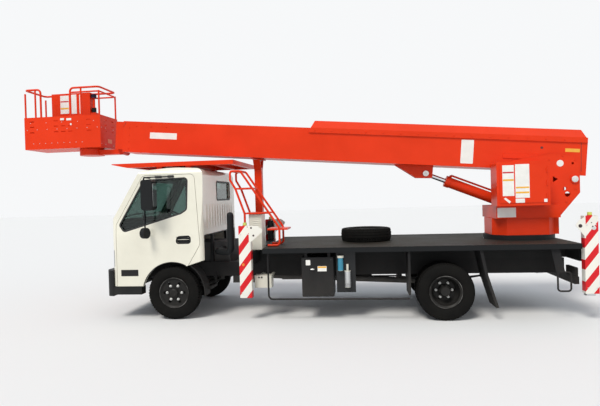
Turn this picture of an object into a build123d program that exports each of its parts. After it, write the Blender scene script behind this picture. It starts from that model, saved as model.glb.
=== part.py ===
from build123d import *
import math
import os

# Cherry picker truck: a light cab-over truck with a telescopic aerial platform, stowed for the road.
# Millimetres, +Z up. The truck faces -X, its left side is -Y and it stands on z = 0.
# Places along X are measured from the front axle, through the helper "at".

# Driving dimensions of the truck
front_axle_x = -1662
wheelbase = 3870
front_track = 1655
rear_track = 1560
tyre_radius = 390
tyre_width = 205
rim_radius = 203
rim_width = 152
dual_spacing = 235
stud_circle = 222
kingpin_half = 690
frame_width = 850
frame_top = 780
frame_height = 220
frame_front = -880
frame_rear = 5560
subframe_height = 180
deck_height = 70
deck_half_width = 1040
deck_front = 1360
deck_rear = 5600

# Driving dimensions of the cab
cab_half_width = 950
cab_wall = 50
cab_nose = -985
cab_back = 480
cab_roof = 2235
door_gap = 6
arch_radius = 455
glass_thickness = 6
cab_floor_z = 880
seat_deck_z = 1230

# Driving dimensions of the aerial platform
slew_x = 5110
slew_radius = 500
slew_height = 140
pivot_x = 5820
pivot_z = 1887
boom_rest_angle = 4.65
boom_half_width = 250
boom_bottom = 110
boom_height = 495
boom_wall = 12
boom_front = 6900
boom_tail = -165
section_gap = 10
cylinder_base_x = 5200
cylinder_base_z = 1450
rod_eye_u = 2076
rod_eye_v = -9
basket_length = 1320
basket_half_width = 290
basket_floor_z = 2665
basket_panel = 500
basket_rail_height = 960

# Driving dimensions of the outriggers
front_outrigger_x = 1115
rear_outrigger_x = 5710
outrigger_half_span = 965
jack_radius = 50
cover_width = 170
cover_reach = 1050

# Fits
running_gap = 0.4
seat_gap = 0.3
travel_gap = 6

# Values that follow from the driving dimensions
hub_z = tyre_radius
subframe_top = frame_top + subframe_height
deck_top = subframe_top + deck_height
frame_bottom = frame_top - frame_height
rail_outer = frame_width / 2
left, right = -1, 1

os.makedirs("parts", exist_ok=True)


def at(x):
    """A place along the truck, measured from the front axle."""
    return front_axle_x + x


def block(x_range, y_range, z_range, mode=Mode.ADD):
    """A box between two places on each axis."""
    low = [min(r) for r in (x_range, y_range, z_range)]
    size = [abs(r[1] - r[0]) for r in (x_range, y_range, z_range)]
    with Locations([tuple(a + s / 2 for a, s in zip(low, size))]):
        Box(*size, mode=mode)


def pin(start, end, radius, mode=Mode.ADD):
    """A round bar from one point to another."""
    axis = Vector(*end) - Vector(*start)
    with Locations(Plane(origin=start, z_dir=axis)):
        Cylinder(radius, axis.length, align=(Align.CENTER, Align.CENTER, Align.MIN), mode=mode)


def side_plate(points, y_from, y_to):
    """A plate whose outline is drawn in side view as (x from the front axle, z)."""
    with BuildPart() as plate:
        with BuildSketch(Plane.XZ.offset(-max(y_from, y_to))):
            with BuildLine():
                Polyline(*[(at(x), z) for x, z in points], close=True)
            make_face()
        extrude(amount=abs(y_to - y_from))
    return plate.part


def pipe(points, bend, radius):
    """A tube along straight runs joined by arcs."""
    with BuildPart() as tube:
        with BuildLine():
            path = FilletPolyline(*points, radius=bend)
        with BuildSketch(Plane(origin=path @ 0, z_dir=path % 0)):
            Circle(radius)
        sweep(path=path)
    return tube.part


def write(part, name):
    """Label a finished piece and write its file."""
    part.label = name
    export_step(part, f"parts/{name}.step")


# Chassis frame: two channel rails and their cross-members
rail_web = 8
rail_flange = 65
cross_member_height = 130
cross_member_length = 70
cross_member_places = (-820, 800, 1500, 2500, 3250, 4500, 5490)
rail_inner_web = rail_outer - rail_web

with BuildPart() as chassis_frame:
    for side in (left, right):
        block((at(frame_front), at(frame_rear)), (side * rail_outer, side * (rail_outer - rail_flange)),
              (frame_bottom, frame_top))
        block((at(frame_front), at(frame_rear)),
              (side * rail_inner_web, side * (rail_outer - rail_flange)),
              (frame_bottom + rail_web, frame_top - rail_web), mode=Mode.SUBTRACT)
    for place in cross_member_places:
        block((at(place - cross_member_length / 2), at(place + cross_member_length / 2)),
              (-rail_inner_web, rail_inner_web),
              (frame_top - rail_web - cross_member_height, frame_top - rail_web))
write(chassis_frame.part, "chassis_frame")

# Axles: a dropped front beam with kingpin bosses, and a rear banjo housing
beam_top = hub_z - 20
beam_depth = 80
beam_width = 90
boss_radius = 42
boss_half_height = 70
kingpin_radius = 18
axle_tube_radius = 60
axle_tube_half = rear_track / 2 - 160
banjo_radius = 175
spindle_radius = 40
spindle_end = rear_track / 2 + 130
nose_length = 230

with BuildPart() as axles:
    with BuildSketch(Plane.YZ.offset(at(-beam_width / 2))):
        with BuildLine():
            Polyline((-kingpin_half, hub_z + 30), (-kingpin_half, hub_z - 40),
                     (-520, beam_top - beam_depth), (520, beam_top - beam_depth),
                     (kingpin_half, hub_z - 40), (kingpin_half, hub_z + 30),
                     (490, beam_top), (-490, beam_top), close=True)
        make_face()
    extrude(amount=beam_width)
    for side in (left, right):
        for radius, mode in ((boss_radius, Mode.ADD), (kingpin_radius + running_gap, Mode.SUBTRACT)):
            pin((at(0), side * kingpin_half, hub_z - boss_half_height),
                (at(0), side * kingpin_half, hub_z + boss_half_height), radius, mode)
    pin((at(wheelbase), -axle_tube_half, hub_z), (at(wheelbase), axle_tube_half, hub_z), axle_tube_radius)
    pin((at(wheelbase), -spindle_end, hub_z), (at(wheelbase), spindle_end, hub_z), spindle_radius)
    with Locations((at(wheelbase), 0, hub_z)):
        Sphere(banjo_radius)
    pin((at(wheelbase - nose_length), 0, hub_z), (at(wheelbase), 0, hub_z), 75)
write(axles.part, "axles")

# Leaf springs with their hangers, one pack under each rail
spring_width = 60
spring_thickness = 36
spring_half_length = 600
spring_y = rail_outer - rail_flange / 2
# place of the axle, underside of the pack at the axle
spring_seats = ((0, beam_top), (wheelbase, hub_z + axle_tube_radius + 10))
spring_eye_z = frame_bottom - 40

with BuildPart() as leaf_springs:
    for place, seat_z in spring_seats:
        for side in (left, right):
            near = side * spring_y + spring_width / 2
            with BuildSketch(Plane.XZ.offset(-near)):
                with BuildLine():
                    lower = ThreePointArc((at(place - spring_half_length), spring_eye_z),
                                          (at(place), seat_z),
                                          (at(place + spring_half_length), spring_eye_z))
                    upper = ThreePointArc((at(place - spring_half_length), spring_eye_z + 14),
                                          (at(place), seat_z + spring_thickness),
                                          (at(place + spring_half_length), spring_eye_z + 14))
                    Line(lower @ 0, upper @ 0)
                    Line(lower @ 1, upper @ 1)
                make_face()
            extrude(amount=spring_width)
            for end in (-1, 1):
                eye = place + end * spring_half_length
                block((at(eye - 25), at(eye + 25)), (near, near - spring_width),
                      (spring_eye_z - 15, frame_bottom))
    for side in (left, right):
        block((at(wheelbase - 60), at(wheelbase + 60)),
              (side * spring_y - spring_width / 2, side * spring_y + spring_width / 2),
              (hub_z + axle_tube_radius - 2, hub_z + axle_tube_radius + 14))
        pin((at(wheelbase), side * spring_y - spring_width / 2, hub_z),
            (at(wheelbase), side * spring_y + spring_width / 2, hub_z),
            axle_tube_radius, mode=Mode.SUBTRACT)
write(leaf_springs.part, "leaf_springs")

# Drivetrain: the engine as a plain block, its gearbox and the shaft to the rear axle
engine_half_width = 300
engine_range = (-150, 700)
engine_top = 1080
gearbox_end = 1150
gearbox_z = 500
shaft_radius = 45

with BuildPart() as drivetrain:
    block((at(engine_range[0]), at(engine_range[1])), (-engine_half_width, engine_half_width),
          (frame_bottom, engine_top))
    block((at(engine_range[1]), at(gearbox_end)), (-170, 170), (gearbox_z - 90, frame_top - 150))
    for side in (left, right):
        for place in (50, 600):
            block((at(place - 40), at(place + 40)), (side * engine_half_width, side * rail_inner_web),
                  (frame_bottom + rail_web, frame_bottom + 60))
    pin((at(gearbox_end - 20), 0, gearbox_z), (at(wheelbase - nose_length - 4), 0, hub_z), shaft_radius)
write(drivetrain.part, "drivetrain")

# Exhaust: silencer, inlet pipe from the engine and tail pipe on the right side
silencer_y = 560
silencer_z = 440
silencer_radius = 105
silencer_range = (1380, 1960)

with BuildPart() as exhaust:
    pin((at(silencer_range[0]), silencer_y, silencer_z), (at(silencer_range[1]), silencer_y, silencer_z),
        silencer_radius)
    add(pipe([(at(620), 200, frame_bottom), (at(620), 200, 460), (at(900), silencer_y, silencer_z),
              (at(silencer_range[0]), silencer_y, silencer_z)], 40, 32))
    for place in (1500, 1840):
        block((at(place - 20), at(place + 20)), (rail_outer, rail_outer + 8), (silencer_z, frame_top - 40))
        block((at(place - 20), at(place + 20)), (rail_outer, silencer_y), (silencer_z - 4, silencer_z + 4))
    add(pipe([(at(silencer_range[1]), silencer_y, silencer_z), (at(2040), silencer_y, silencer_z),
              (at(2040), silencer_y, 300)], 60, 28))
write(exhaust.part, "exhaust")

# Fuel tank in its straps, on the right side
tank_range = (2130, 2900)
tank_y = (rail_outer + 40, 900)
tank_z = (330, 760)

with BuildPart() as fuel_tank:
    block((at(tank_range[0]), at(tank_range[1])), tank_y, tank_z)
    fillet(fuel_tank.edges().filter_by(Axis.X), 60)
    for place in (tank_range[0] + 150, tank_range[1] - 150):
        block((at(place - 25), at(place + 25)), (rail_outer, tank_y[0] + 20), (frame_bottom + 20, 700))
    pin((at(tank_range[1] - 120), tank_y[1] - 20, tank_z[1] - 110),
        (at(tank_range[1] - 120), tank_y[1] + 25, tank_z[1] - 110), 45)
write(fuel_tank.part, "fuel_tank")

# Subframe: box rails on the chassis, the slew base and the housings of the outriggers
subframe_rail = 90
subframe_front = front_outrigger_x - 180
housing_width = 170
housing_wall = 12
housing_reach = 880
housing_bottom = frame_top
housing_top = subframe_top + 20
slew_base_half = 470

with BuildPart() as subframe:
    for side in (left, right):
        block((at(subframe_front), at(rear_outrigger_x)),
              (side * rail_outer, side * (rail_outer - subframe_rail)), (frame_top, subframe_top))
    for place in (1700, 2600, 3500, 4300):
        block((at(place - 50), at(place + 50)), (-rail_outer, rail_outer), (frame_top, subframe_top))
    block((at(slew_x - slew_base_half), at(slew_x + slew_base_half)), (-rail_outer, rail_outer),
          (frame_top, subframe_top))
    for place in (front_outrigger_x, rear_outrigger_x):
        block((at(place - housing_width / 2), at(place + housing_width / 2)),
              (-housing_reach, housing_reach), (housing_bottom, housing_top))
    for place in (front_outrigger_x, rear_outrigger_x):
        block((at(place - housing_width / 2 + housing_wall), at(place + housing_width / 2 - housing_wall)),
              (-housing_reach, housing_reach),
              (housing_bottom + housing_wall, housing_top - housing_wall), mode=Mode.SUBTRACT)
        block((at(place - housing_width / 2), at(place + housing_width / 2)), (-6, 6),
              (housing_bottom, housing_top))
write(subframe.part, "subframe")

# Deck: a flat platform with a deep rim, cross ribs below and an opening for the slew ring
deck_plate = 6
deck_rim = 8
deck_rib_pitch = 420
deck_rib_half = 880
deck_ribs = int((deck_rear - deck_front) / deck_rib_pitch)

with BuildPart() as deck:
    block((at(deck_front), at(deck_rear)), (-deck_half_width, deck_half_width), (subframe_top, deck_top))
    block((at(deck_front + deck_rim), at(deck_rear - deck_rim)),
          (-(deck_half_width - deck_rim), deck_half_width - deck_rim),
          (subframe_top, deck_top - deck_plate), mode=Mode.SUBTRACT)
    for rib in range(1, deck_ribs + 1):
        place = deck_front + rib * (deck_rear - deck_front) / (deck_ribs + 1)
        block((at(place - 20), at(place + 20)), (-deck_rib_half, deck_rib_half),
              (subframe_top, deck_top - deck_plate))
    pin((at(slew_x), 0, subframe_top), (at(slew_x), 0, deck_top), slew_radius + travel_gap,
        mode=Mode.SUBTRACT)
write(deck.part, "deck")

deck_underside = deck_top - deck_plate

# Guards: front fender bands, rear mudflaps on their hangers, side guard bars and the rear step
fender_inner = 475
fender_thickness = 10
fender_range = (700, 940)
fender_angles = (-5, 55)
flap_front = (3372, 3402)
flap_y = (620, 1010)
guard_bar_radius = 13
guard_y = 1000
guard_low = 310
guard_range = (1430, 3372)
step_range = (5210, 5400)

with BuildPart() as guards:
    for side in (left, right):
        with BuildSketch(Plane.XZ.offset(-max(side * fender_range[0], side * fender_range[1]))):
            with BuildLine():
                inner = CenterArc((at(0), hub_z), fender_inner, fender_angles[0],
                                  fender_angles[1] - fender_angles[0])
                outer = CenterArc((at(0), hub_z), fender_inner + fender_thickness, fender_angles[0],
                                  fender_angles[1] - fender_angles[0])
                Line(inner @ 0, outer @ 0)
                Line(inner @ 1, outer @ 1)
            make_face()
        extrude(amount=fender_range[1] - fender_range[0])
        block((at(fender_inner + 2), at(fender_inner + 42)),
              (side * rail_outer, side * (fender_range[0] + 30)), (hub_z + 20, hub_z + 60))
        block((at(fender_inner + 2), at(fender_inner + 42)), (side * rail_outer, side * (rail_outer + 12)),
              (hub_z + 20, frame_bottom + 60))
        add(side_plate([(flap_front[0], 360), (flap_front[1], 360), (flap_front[1], deck_underside),
                        (flap_front[0], deck_underside)], side * flap_y[0], side * flap_y[1]))
        add(side_plate([(4300, deck_underside), (4345, deck_underside), (4420, 620), (4550, 185),
                        (4515, 180), (4385, 610)], side * flap_y[0], side * flap_y[1]))
        add(pipe([(at(guard_range[0]), side * guard_y, deck_underside),
                  (at(guard_range[0]), side * guard_y, guard_low),
                  (at(guard_range[1] + 10), side * guard_y, guard_low)], 60, guard_bar_radius))
    add(side_plate([(step_range[0], deck_underside), (step_range[0] + 110, deck_underside),
                    (step_range[1], 640), (step_range[1] - 110, 640)], -1000, -985))
    add(pipe([(at(step_range[0] + 95), -992, 680), (at(step_range[0] + 95), -992, 400),
              (at(5470), -992, 400), (at(5470), -992, 650), (at(step_range[1] - 60), -992, 650)], 40, 12))
write(guards.part, "guards")

# Cab: one closed form gives the skin, and smaller copies of it the walls and the glass
cab_base_z = 350
# x, z and corner radius of the side view
cab_side = ((-960, cab_base_z, 20), (cab_nose, 760, 300), (cab_nose + 10, 1080, 300), (-924, 1436, 60),
            (-495, 2190, 130), (0, cab_roof, 1500), (cab_back - 5, cab_roof - 30, 110),
            (cab_back, cab_base_z, 10))
# y, z and corner radius of the front view, right half
cab_front = ((cab_half_width, cab_base_z - 100, 10), (cab_half_width, 1250, 400),
             (cab_half_width - 85, cab_roof + 5, 130))
# x, y and corner radius of the plan, right half, which only rounds the corners of the other two
plan_margin = 8
cab_plan = ((cab_nose - 1, cab_half_width - 310, 500), (-900, cab_half_width + plan_margin, 120),
            (cab_back + plan_margin, cab_half_width + plan_margin, 100))


def outline(corners):
    """A closed outline of straight runs, from places with a radius at each corner."""
    return FilletPolyline(*[(a, b) for a, b, radius in corners], radius=[c[2] for c in corners], close=True)


def cab_view(plane, corners, inset, mode):
    """One view of the cab as a prism across the whole cab."""
    with BuildPart() as prism:
        with BuildSketch(plane):
            with BuildLine():
                outline(corners)
            make_face()
            if inset:
                offset(amount=-inset)
        extrude(amount=3000, both=True)
    add(prism.part, mode=mode)


def cab_form(inset):
    """The cab's skin as a closed solid, moved inwards by the inset."""
    side_view = [(at(x), z, radius) for x, z, radius in cab_side]
    front_view = [*cab_front, *[(-y, z, radius) for y, z, radius in reversed(cab_front)]]
    plan_view = [(at(x), y, radius) for x, y, radius in cab_plan]
    plan_view += [(x, -y, radius) for x, y, radius in reversed(plan_view)]
    with BuildPart() as form:
        cab_view(Plane.XZ, side_view, inset, Mode.ADD)
        cab_view(Plane.YZ, front_view, inset, Mode.INTERSECT)
        cab_view(Plane.XY, plan_view, inset, Mode.INTERSECT)
    return form.part


def side_window(corners, grow, side=0):
    """A prism across the cab, or across one side of it, from an outline in side view."""
    with BuildPart() as prism:
        with BuildSketch(Plane.XZ):
            with BuildLine():
                outline([(at(x), z, radius) for x, z, radius in corners])
            make_face()
            if grow:
                offset(amount=grow)
        extrude(amount=-side * 1300 if side else 1300, both=not side)
    return prism.part


def front_window(corners, grow, x_range):
    """A prism along the cab from an outline in front view."""
    with BuildPart() as prism:
        with BuildSketch(Plane.YZ.offset(at(x_range[0]))):
            with BuildLine():
                outline(corners)
            make_face()
            if grow:
                offset(amount=grow)
        extrude(amount=x_range[1] - x_range[0])
    return prism.part


# x, z and corner radius of the door and of its window
door_corners = ((-840, 300, 0), (-840, 1405, 60), (-438, 2118, 70), (345, 2122, 70), (430, 1100, 150),
                (240, 790, 60), (235, 300, 0))
window_corners = ((-420, 2050, 60), (244, 2070, 50), (235, 1605, 60), (148, 1550, 60), (-720, 1300, 50),
                  (-790, 1400, 40))
# y, z and corner radius of the windscreen, the rear window and one headlamp
screen_corners = ((-800, 1470, 90), (-740, 2060, 110), (740, 2060, 110), (800, 1470, 90))
rear_window_corners = ((-180, 1735, 35), (-180, 2025, 35), (600, 2025, 35), (600, 1735, 35))
lamp_corners = ((610, 775, 30), (640, 1045, 60), (935, 1045, 30), (935, 775, 30))
sill_z = 500
nose_bottom = 740
side_bottom_back = 867
lamp_depth = 40
grille_half_width = 500
grille_slots = (830, 885, 940, 995, 1050)
grille_slot_height = 26

cab_skin = cab_form(0)
cab_inside = cab_form(cab_wall)
cab_clearance = cab_form(-seat_gap)
lamp_x = (-1050, -860)

with BuildPart() as cab_below:
    block((at(-1100), at(-900)), (-1000, 1000), (300, nose_bottom))
    block((at(-900), at(600)), (-1000, 1000), (300, sill_z))
    pin((at(0), -1000, hub_z), (at(0), 1000, hub_z), arch_radius)
    add(side_plate([(200, 300), (200, 780), (cab_back, side_bottom_back), (600, 907), (600, 300)],
                   -1000, 1000))

with BuildPart() as cab_walls:
    add(cab_skin)
    add(cab_inside, mode=Mode.SUBTRACT)
    add(cab_below.part, mode=Mode.SUBTRACT)
    add(side_window(window_corners, 0), mode=Mode.SUBTRACT)

with BuildPart() as cab_shell:
    add(cab_walls.part)
    for side in (left, right):
        add(side_window(door_corners, door_gap, side), mode=Mode.SUBTRACT)
    add(front_window(screen_corners, 0, (-1200, -350)), mode=Mode.SUBTRACT)
    add(front_window(rear_window_corners, 0, (300, 600)), mode=Mode.SUBTRACT)
    for corners in (lamp_corners, [(-y, z, radius) for y, z, radius in lamp_corners]):
        add(front_window(corners, 0, lamp_x), mode=Mode.SUBTRACT)
    for slot in grille_slots:
        block((at(-1100), at(-850)), (-grille_half_width, grille_half_width),
              (slot - grille_slot_height / 2, slot + grille_slot_height / 2), mode=Mode.SUBTRACT)
    block((at(cab_back - 90), at(cab_back + 20)), (-(cab_half_width - 60), cab_half_width - 60),
          (300, seat_deck_z), mode=Mode.SUBTRACT)
write(cab_shell.part, "cab_shell")

with BuildPart() as lamp_prisms:
    add(front_window(lamp_corners, -seat_gap, lamp_x))
    add(front_window([(-y, z, radius) for y, z, radius in lamp_corners], -seat_gap, lamp_x))

with BuildPart() as headlamps:
    add(cab_form(seat_gap))
    add(cab_form(lamp_depth), mode=Mode.SUBTRACT)
    add(lamp_prisms.part, mode=Mode.INTERSECT)
write(headlamps.part, "headlamps")

# Cab glass: windscreen and rear window, set midway in the wall
glass_depth = 22
glass_outer = cab_form(glass_depth)
glass_inner = cab_form(glass_depth + glass_thickness)

with BuildPart() as glass_skin:
    add(glass_outer)
    add(glass_inner, mode=Mode.SUBTRACT)

with BuildPart() as cab_glass:
    add(front_window(screen_corners, -seat_gap, (-1200, -350)))
    add(front_window(rear_window_corners, -seat_gap, (300, 600)))
    add(glass_skin.part, mode=Mode.INTERSECT)
write(cab_glass.part, "cab_glass")

# Doors with their glass and mirrors
handle_x = (80, 280)
handle_z = (1125, 1215)
mirror_y = 1130
mirror_x = (-318, -150)
mirror_z = (1612, 2046)
mirror_width = 170
stay_x = -330
stay_y = 1085
stay_z = (1275, 2085)
stay_radius = 11
round_mirror_radius = 77

for side, tag in ((left, "l"), (right, "r")):
    with BuildPart() as door:
        add(cab_walls.part)
        add(side_window(door_corners, 0, side), mode=Mode.INTERSECT)
        block((at(handle_x[0]), at(handle_x[1])),
              (side * (cab_half_width - 22), side * (cab_half_width + 10)), handle_z, mode=Mode.SUBTRACT)
        block((at(handle_x[0]), at(handle_x[1])),
              (side * (cab_half_width - 14), side * (cab_half_width - 4)),
              (handle_z[1] - 45, handle_z[1] - 15))
    write(door.part, f"door_{tag}")
    with BuildPart() as door_glass:
        add(glass_skin.part)
        add(side_window(window_corners, -seat_gap, side), mode=Mode.INTERSECT)
    write(door_glass.part, f"door_glass_{tag}")
    with BuildPart() as mirrors:
        add(pipe([(at(stay_x), side * (cab_half_width - 90), stay_z[1]),
                  (at(stay_x), side * stay_y, stay_z[1]), (at(stay_x), side * stay_y, stay_z[0]),
                  (at(stay_x), side * (cab_half_width - 20), stay_z[0])], 30, stay_radius))
        add(cab_clearance, mode=Mode.SUBTRACT)
        with BuildSketch(Plane.XZ.offset(-side * (mirror_y - 70))):
            with Locations((at((mirror_x[0] + mirror_x[1]) / 2), (mirror_z[0] + mirror_z[1]) / 2)):
                RectangleRounded(mirror_x[1] - mirror_x[0], mirror_z[1] - mirror_z[0], 45)
        extrude(amount=-side * mirror_width)
        block((at(stay_x - 5), at(mirror_x[1] - 20)), (side * (stay_y - 8), side * (stay_y + 8)),
              (1800, 1850))
        pin((at(stay_x - 30), side * stay_y, stay_z[0] + 10),
            (at(stay_x + 35), side * (stay_y + 20), stay_z[0] + 10), round_mirror_radius)
    write(mirrors.part, f"mirrors_{tag}")

# Cab floor: toe board, floor, seat deck, footwell steps and the mounts on the frame
floor_thickness = 30
riser_x = -300
rear_mount_x = (425, 465)
step_y = (720, 890)

with BuildPart() as cab_floor:
    add(side_plate([(-1000, cab_floor_z - floor_thickness), (riser_x, cab_floor_z - floor_thickness),
                    (riser_x, seat_deck_z - floor_thickness), (cab_back, seat_deck_z - floor_thickness),
                    (cab_back, seat_deck_z), (riser_x - floor_thickness, seat_deck_z),
                    (riser_x - floor_thickness, cab_floor_z), (-1000, cab_floor_z)],
                   -cab_half_width, cab_half_width))
    add(cab_form(cab_wall + seat_gap), mode=Mode.INTERSECT)
    for side in (left, right):
        block((at(-720), at(-640)), (side * rail_outer, side * (rail_outer - rail_flange)),
              (frame_top, cab_floor_z - floor_thickness))
        block((at(rear_mount_x[0]), at(rear_mount_x[1])),
              (side * rail_outer, side * (rail_outer - rail_flange)),
              (frame_top, seat_deck_z - floor_thickness))
        block((at(-830), at(-490)), (side * step_y[0], side * step_y[1]), (sill_z + 15, sill_z + 27))
        block((at(-830), at(-490)), (side * step_y[0], side * (step_y[0] + 10)),
              (sill_z + 15, cab_floor_z - floor_thickness))
write(cab_floor.part, "cab_floor")

# Seats: the driver's seat on the right and the bench on the left, as plain cushions
seat_back_top = 1930
# y from, y to
seat_places = ((210, 720), (-720, 130))

with BuildPart() as seats:
    for y_from, y_to in seat_places:
        add(side_plate([(-220, seat_deck_z), (-220, seat_deck_z + 130), (190, seat_deck_z + 110),
                        (290, seat_back_top), (380, seat_back_top - 10), (330, seat_deck_z)], y_from, y_to))
write(seats.part, "seats")

# Dashboard with the steering column and wheel
wheel_centre = (-440, 465, 1470)
wheel_tilt = 35
column_foot = (-760, 465, 1120)

with BuildPart() as dashboard:
    add(side_plate([(-1050, 1000), (-1050, 1400), (-800, 1425), (-690, 1370), (-670, 1180), (-800, 1000)],
                   -cab_half_width, cab_half_width))
    add(cab_form(cab_wall + seat_gap), mode=Mode.INTERSECT)
    pin((at(column_foot[0]), *column_foot[1:]), (at(wheel_centre[0]), *wheel_centre[1:]), 28)
    with Locations(Plane(origin=(at(wheel_centre[0]), *wheel_centre[1:]),
                         z_dir=(math.sin(math.radians(wheel_tilt)), 0, math.cos(math.radians(wheel_tilt))))):
        Torus(195, 14)
        Box(390, 34, 14)
        Box(34, 390, 14)
write(dashboard.part, "dashboard")

# Bumper: rounded bar across the nose with a step panel below each door
bumper_x = (-1044, -905)
bumper_z = (356, 735)
bumper_corner = 100
panel_y = (800, 945)
panel_z = (376, 494)

with BuildPart() as bumper:
    with BuildSketch(Plane.XY.offset(bumper_z[0])):
        with BuildLine():
            outline([(at(bumper_x[0]), 820, 60), (at(bumper_x[0] + 60), cab_half_width, bumper_corner),
                     (at(bumper_x[1]), cab_half_width, 10), (at(bumper_x[1]), -cab_half_width, 10),
                     (at(bumper_x[0] + 60), -cab_half_width, bumper_corner), (at(bumper_x[0]), -820, 60)])
        make_face()
    extrude(amount=bumper_z[1] - bumper_z[0])
    for side in (left, right):
        block((at(bumper_x[1] - 20), at(-475)), (side * panel_y[0], side * panel_y[1]), panel_z)
        block((at(bumper_x[1] - 5), at(frame_front)), (side * rail_outer, side * (rail_outer - rail_flange)),
              (frame_bottom + 10, bumper_z[1]))
    block((at(bumper_x[0] - 20), at(bumper_x[0] + 30)), (-420, 420), (560, 680), mode=Mode.SUBTRACT)
write(bumper.part, "bumper")

# Roof guard above the cab: side members, cross bars and a thin top, on feet on the roof
guard_top = 2320
guard_depth = 64
guard_half = 750
guard_x = (-980, 905)
guard_member = 60

with BuildPart() as canopy:
    for side in (left, right):
        add(side_plate([(guard_x[0], guard_top - 12), (guard_x[0] + 240, guard_top - guard_depth),
                        (guard_x[1], guard_top - guard_depth), (guard_x[1], guard_top),
                        (guard_x[0], guard_top)], side * guard_half, side * (guard_half - guard_member)))
    block((at(guard_x[0] + 30), at(guard_x[1])), (-guard_half, guard_half), (guard_top - 6, guard_top))
    for place in (-700, -250, 200, 550, 875):
        block((at(place - 30), at(place + 30)), (-guard_half, guard_half),
              (guard_top - guard_depth, guard_top))
    for place in (-250, 200):
        for side in (left, right):
            block((at(place - 40), at(place + 40)), (side * 560, side * 700),
                  (2100, guard_top - guard_depth))
    add(cab_clearance, mode=Mode.SUBTRACT)
write(canopy.part, "canopy")

# Air intake behind the cab
intake_radius = 50

with BuildPart() as air_intake:
    add(pipe([(at(600), -engine_half_width, 960), (at(600), -640, 960), (at(850), -800, 960),
              (at(850), -800, 1500)], 90, intake_radius))
    with Locations((at(850), -800, 1500)):
        Sphere(intake_radius)
write(air_intake.part, "air_intake")

# Steering knuckles: a yoke on the kingpin and the stub that carries the wheel
yoke_thickness = 34
yoke_plate = (738, 764)
stub_radius = 34
stub_end = 855
yoke_half = 42

for side, tag in ((left, "l"), (right, "r")):
    with BuildPart() as knuckle:
        block((at(-yoke_half), at(yoke_half)), (side * yoke_plate[0], side * yoke_plate[1]),
              (hub_z - boss_half_height - yoke_thickness, hub_z + boss_half_height + yoke_thickness))
        for end in (-1, 1):
            face = hub_z + end * (boss_half_height + running_gap)
            block((at(-yoke_half), at(yoke_half)), (side * kingpin_half, side * yoke_plate[1]),
                  (face, face + end * yoke_thickness))
            pin((at(0), side * kingpin_half, face),
                (at(0), side * kingpin_half, face + end * yoke_thickness), yoke_half)
        pin((at(0), side * kingpin_half, hub_z - boss_half_height - yoke_thickness),
            (at(0), side * kingpin_half, hub_z + boss_half_height + yoke_thickness), kingpin_radius)
        pin((at(0), side * yoke_plate[0], hub_z), (at(0), side * stub_end, hub_z), stub_radius)
        pin((at(0), side * (kingpin_half + 20), hub_z - boss_half_height - 17),
            (at(190), side * (kingpin_half - 40), hub_z - boss_half_height - 17), 14)
    write(knuckle.part, f"knuckle_{tag}")


def wheel_plane(x):
    """A plane for wheel profiles: its first axis runs along the axle, its second one upwards."""
    return Plane(origin=(at(x), 0, hub_z), x_dir=(0, 1, 0), z_dir=(1, 0, 0))


def turned(plane, profiles):
    """A piece turned about the plane's first axis from closed profiles of (along, radius)."""
    with BuildPart() as piece:
        with BuildSketch(plane):
            for profile in profiles:
                with BuildLine():
                    Polyline(*profile, close=True)
                make_face()
        revolve(axis=Axis(plane.origin, plane.x_dir))
    return piece.part


def tyre_profile(centre):
    """A tyre's cross-section about its middle, from one bead over the tread to the other."""
    half = ((66 - seat_gap, rim_radius + seat_gap), (66 - seat_gap, rim_radius + 20), (88, 238),
            (tyre_width / 2, 300), (98, tyre_radius - 38), (84, tyre_radius - 6), (72, tyre_radius))
    return [(centre + a, r) for a, r in half] + [(centre - a, r) for a, r in reversed(half)]


def rim_profile(centre):
    """A rim's barrel with its two flanges."""
    half = ((rim_width / 2, rim_radius + 19), (66, rim_radius + 19), (66, rim_radius))
    under = ((rim_width / 2, rim_radius + 12), (58, rim_radius - 10))
    return ([(centre - a, r) for a, r in half] + [(centre + a, r) for a, r in reversed(half)]
            + [(centre + a, r) for a, r in under] + [(centre - a, r) for a, r in reversed(under)])


# Front wheels: a rim with its disc, hub, drum and cap, and the tyre
front_disc = (front_track / 2 + 40, front_track / 2 + 52)
front_hub_start = 775
front_cap_end = 925
hub_radius = 100
cap_radius = 62
drum_radius = 172
stud_count = 6
stud_hole = 9
hand_hole = 22
hand_circle = 150

for side, tag in ((left, "fl"), (right, "fr")):
    centre = side * front_track / 2
    bore = stub_radius + running_gap
    with BuildPart() as rim:
        add(turned(wheel_plane(0), [
            rim_profile(centre),
            [(side * front_disc[0], bore), (side * front_disc[0], rim_radius - 6),
             (side * front_disc[1], rim_radius - 6), (side * front_disc[1], bore)],
            [(side * front_hub_start, bore), (side * front_hub_start, drum_radius),
             (side * (front_hub_start + 60), drum_radius), (side * (front_hub_start + 70), hub_radius),
             (side * front_disc[0], hub_radius), (side * front_disc[0], bore)],
            [(side * front_disc[1], 0), (side * front_disc[1], cap_radius),
             (side * (front_cap_end - 8), cap_radius - 4), (side * front_cap_end, cap_radius - 20),
             (side * front_cap_end, 0)],
        ]))
        with Locations(Plane(origin=(at(0), side * front_disc[0], hub_z), z_dir=(0, side, 0))):
            with PolarLocations(hand_circle, stud_count, start_angle=30):
                Cylinder(hand_hole, 60, mode=Mode.SUBTRACT)
            with PolarLocations(stud_circle / 2, stud_count):
                Cylinder(stud_hole + 4, 44)
    write(rim.part, f"rim_{tag}")
    write(turned(wheel_plane(0), [tyre_profile(centre)]), f"tyre_{tag}")

# Rear wheels: twin rims back to back on one hub, and their two tyres
rear_middle = rear_track / 2
rear_hub = (640, 900)
rear_cap_radius = 85

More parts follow.
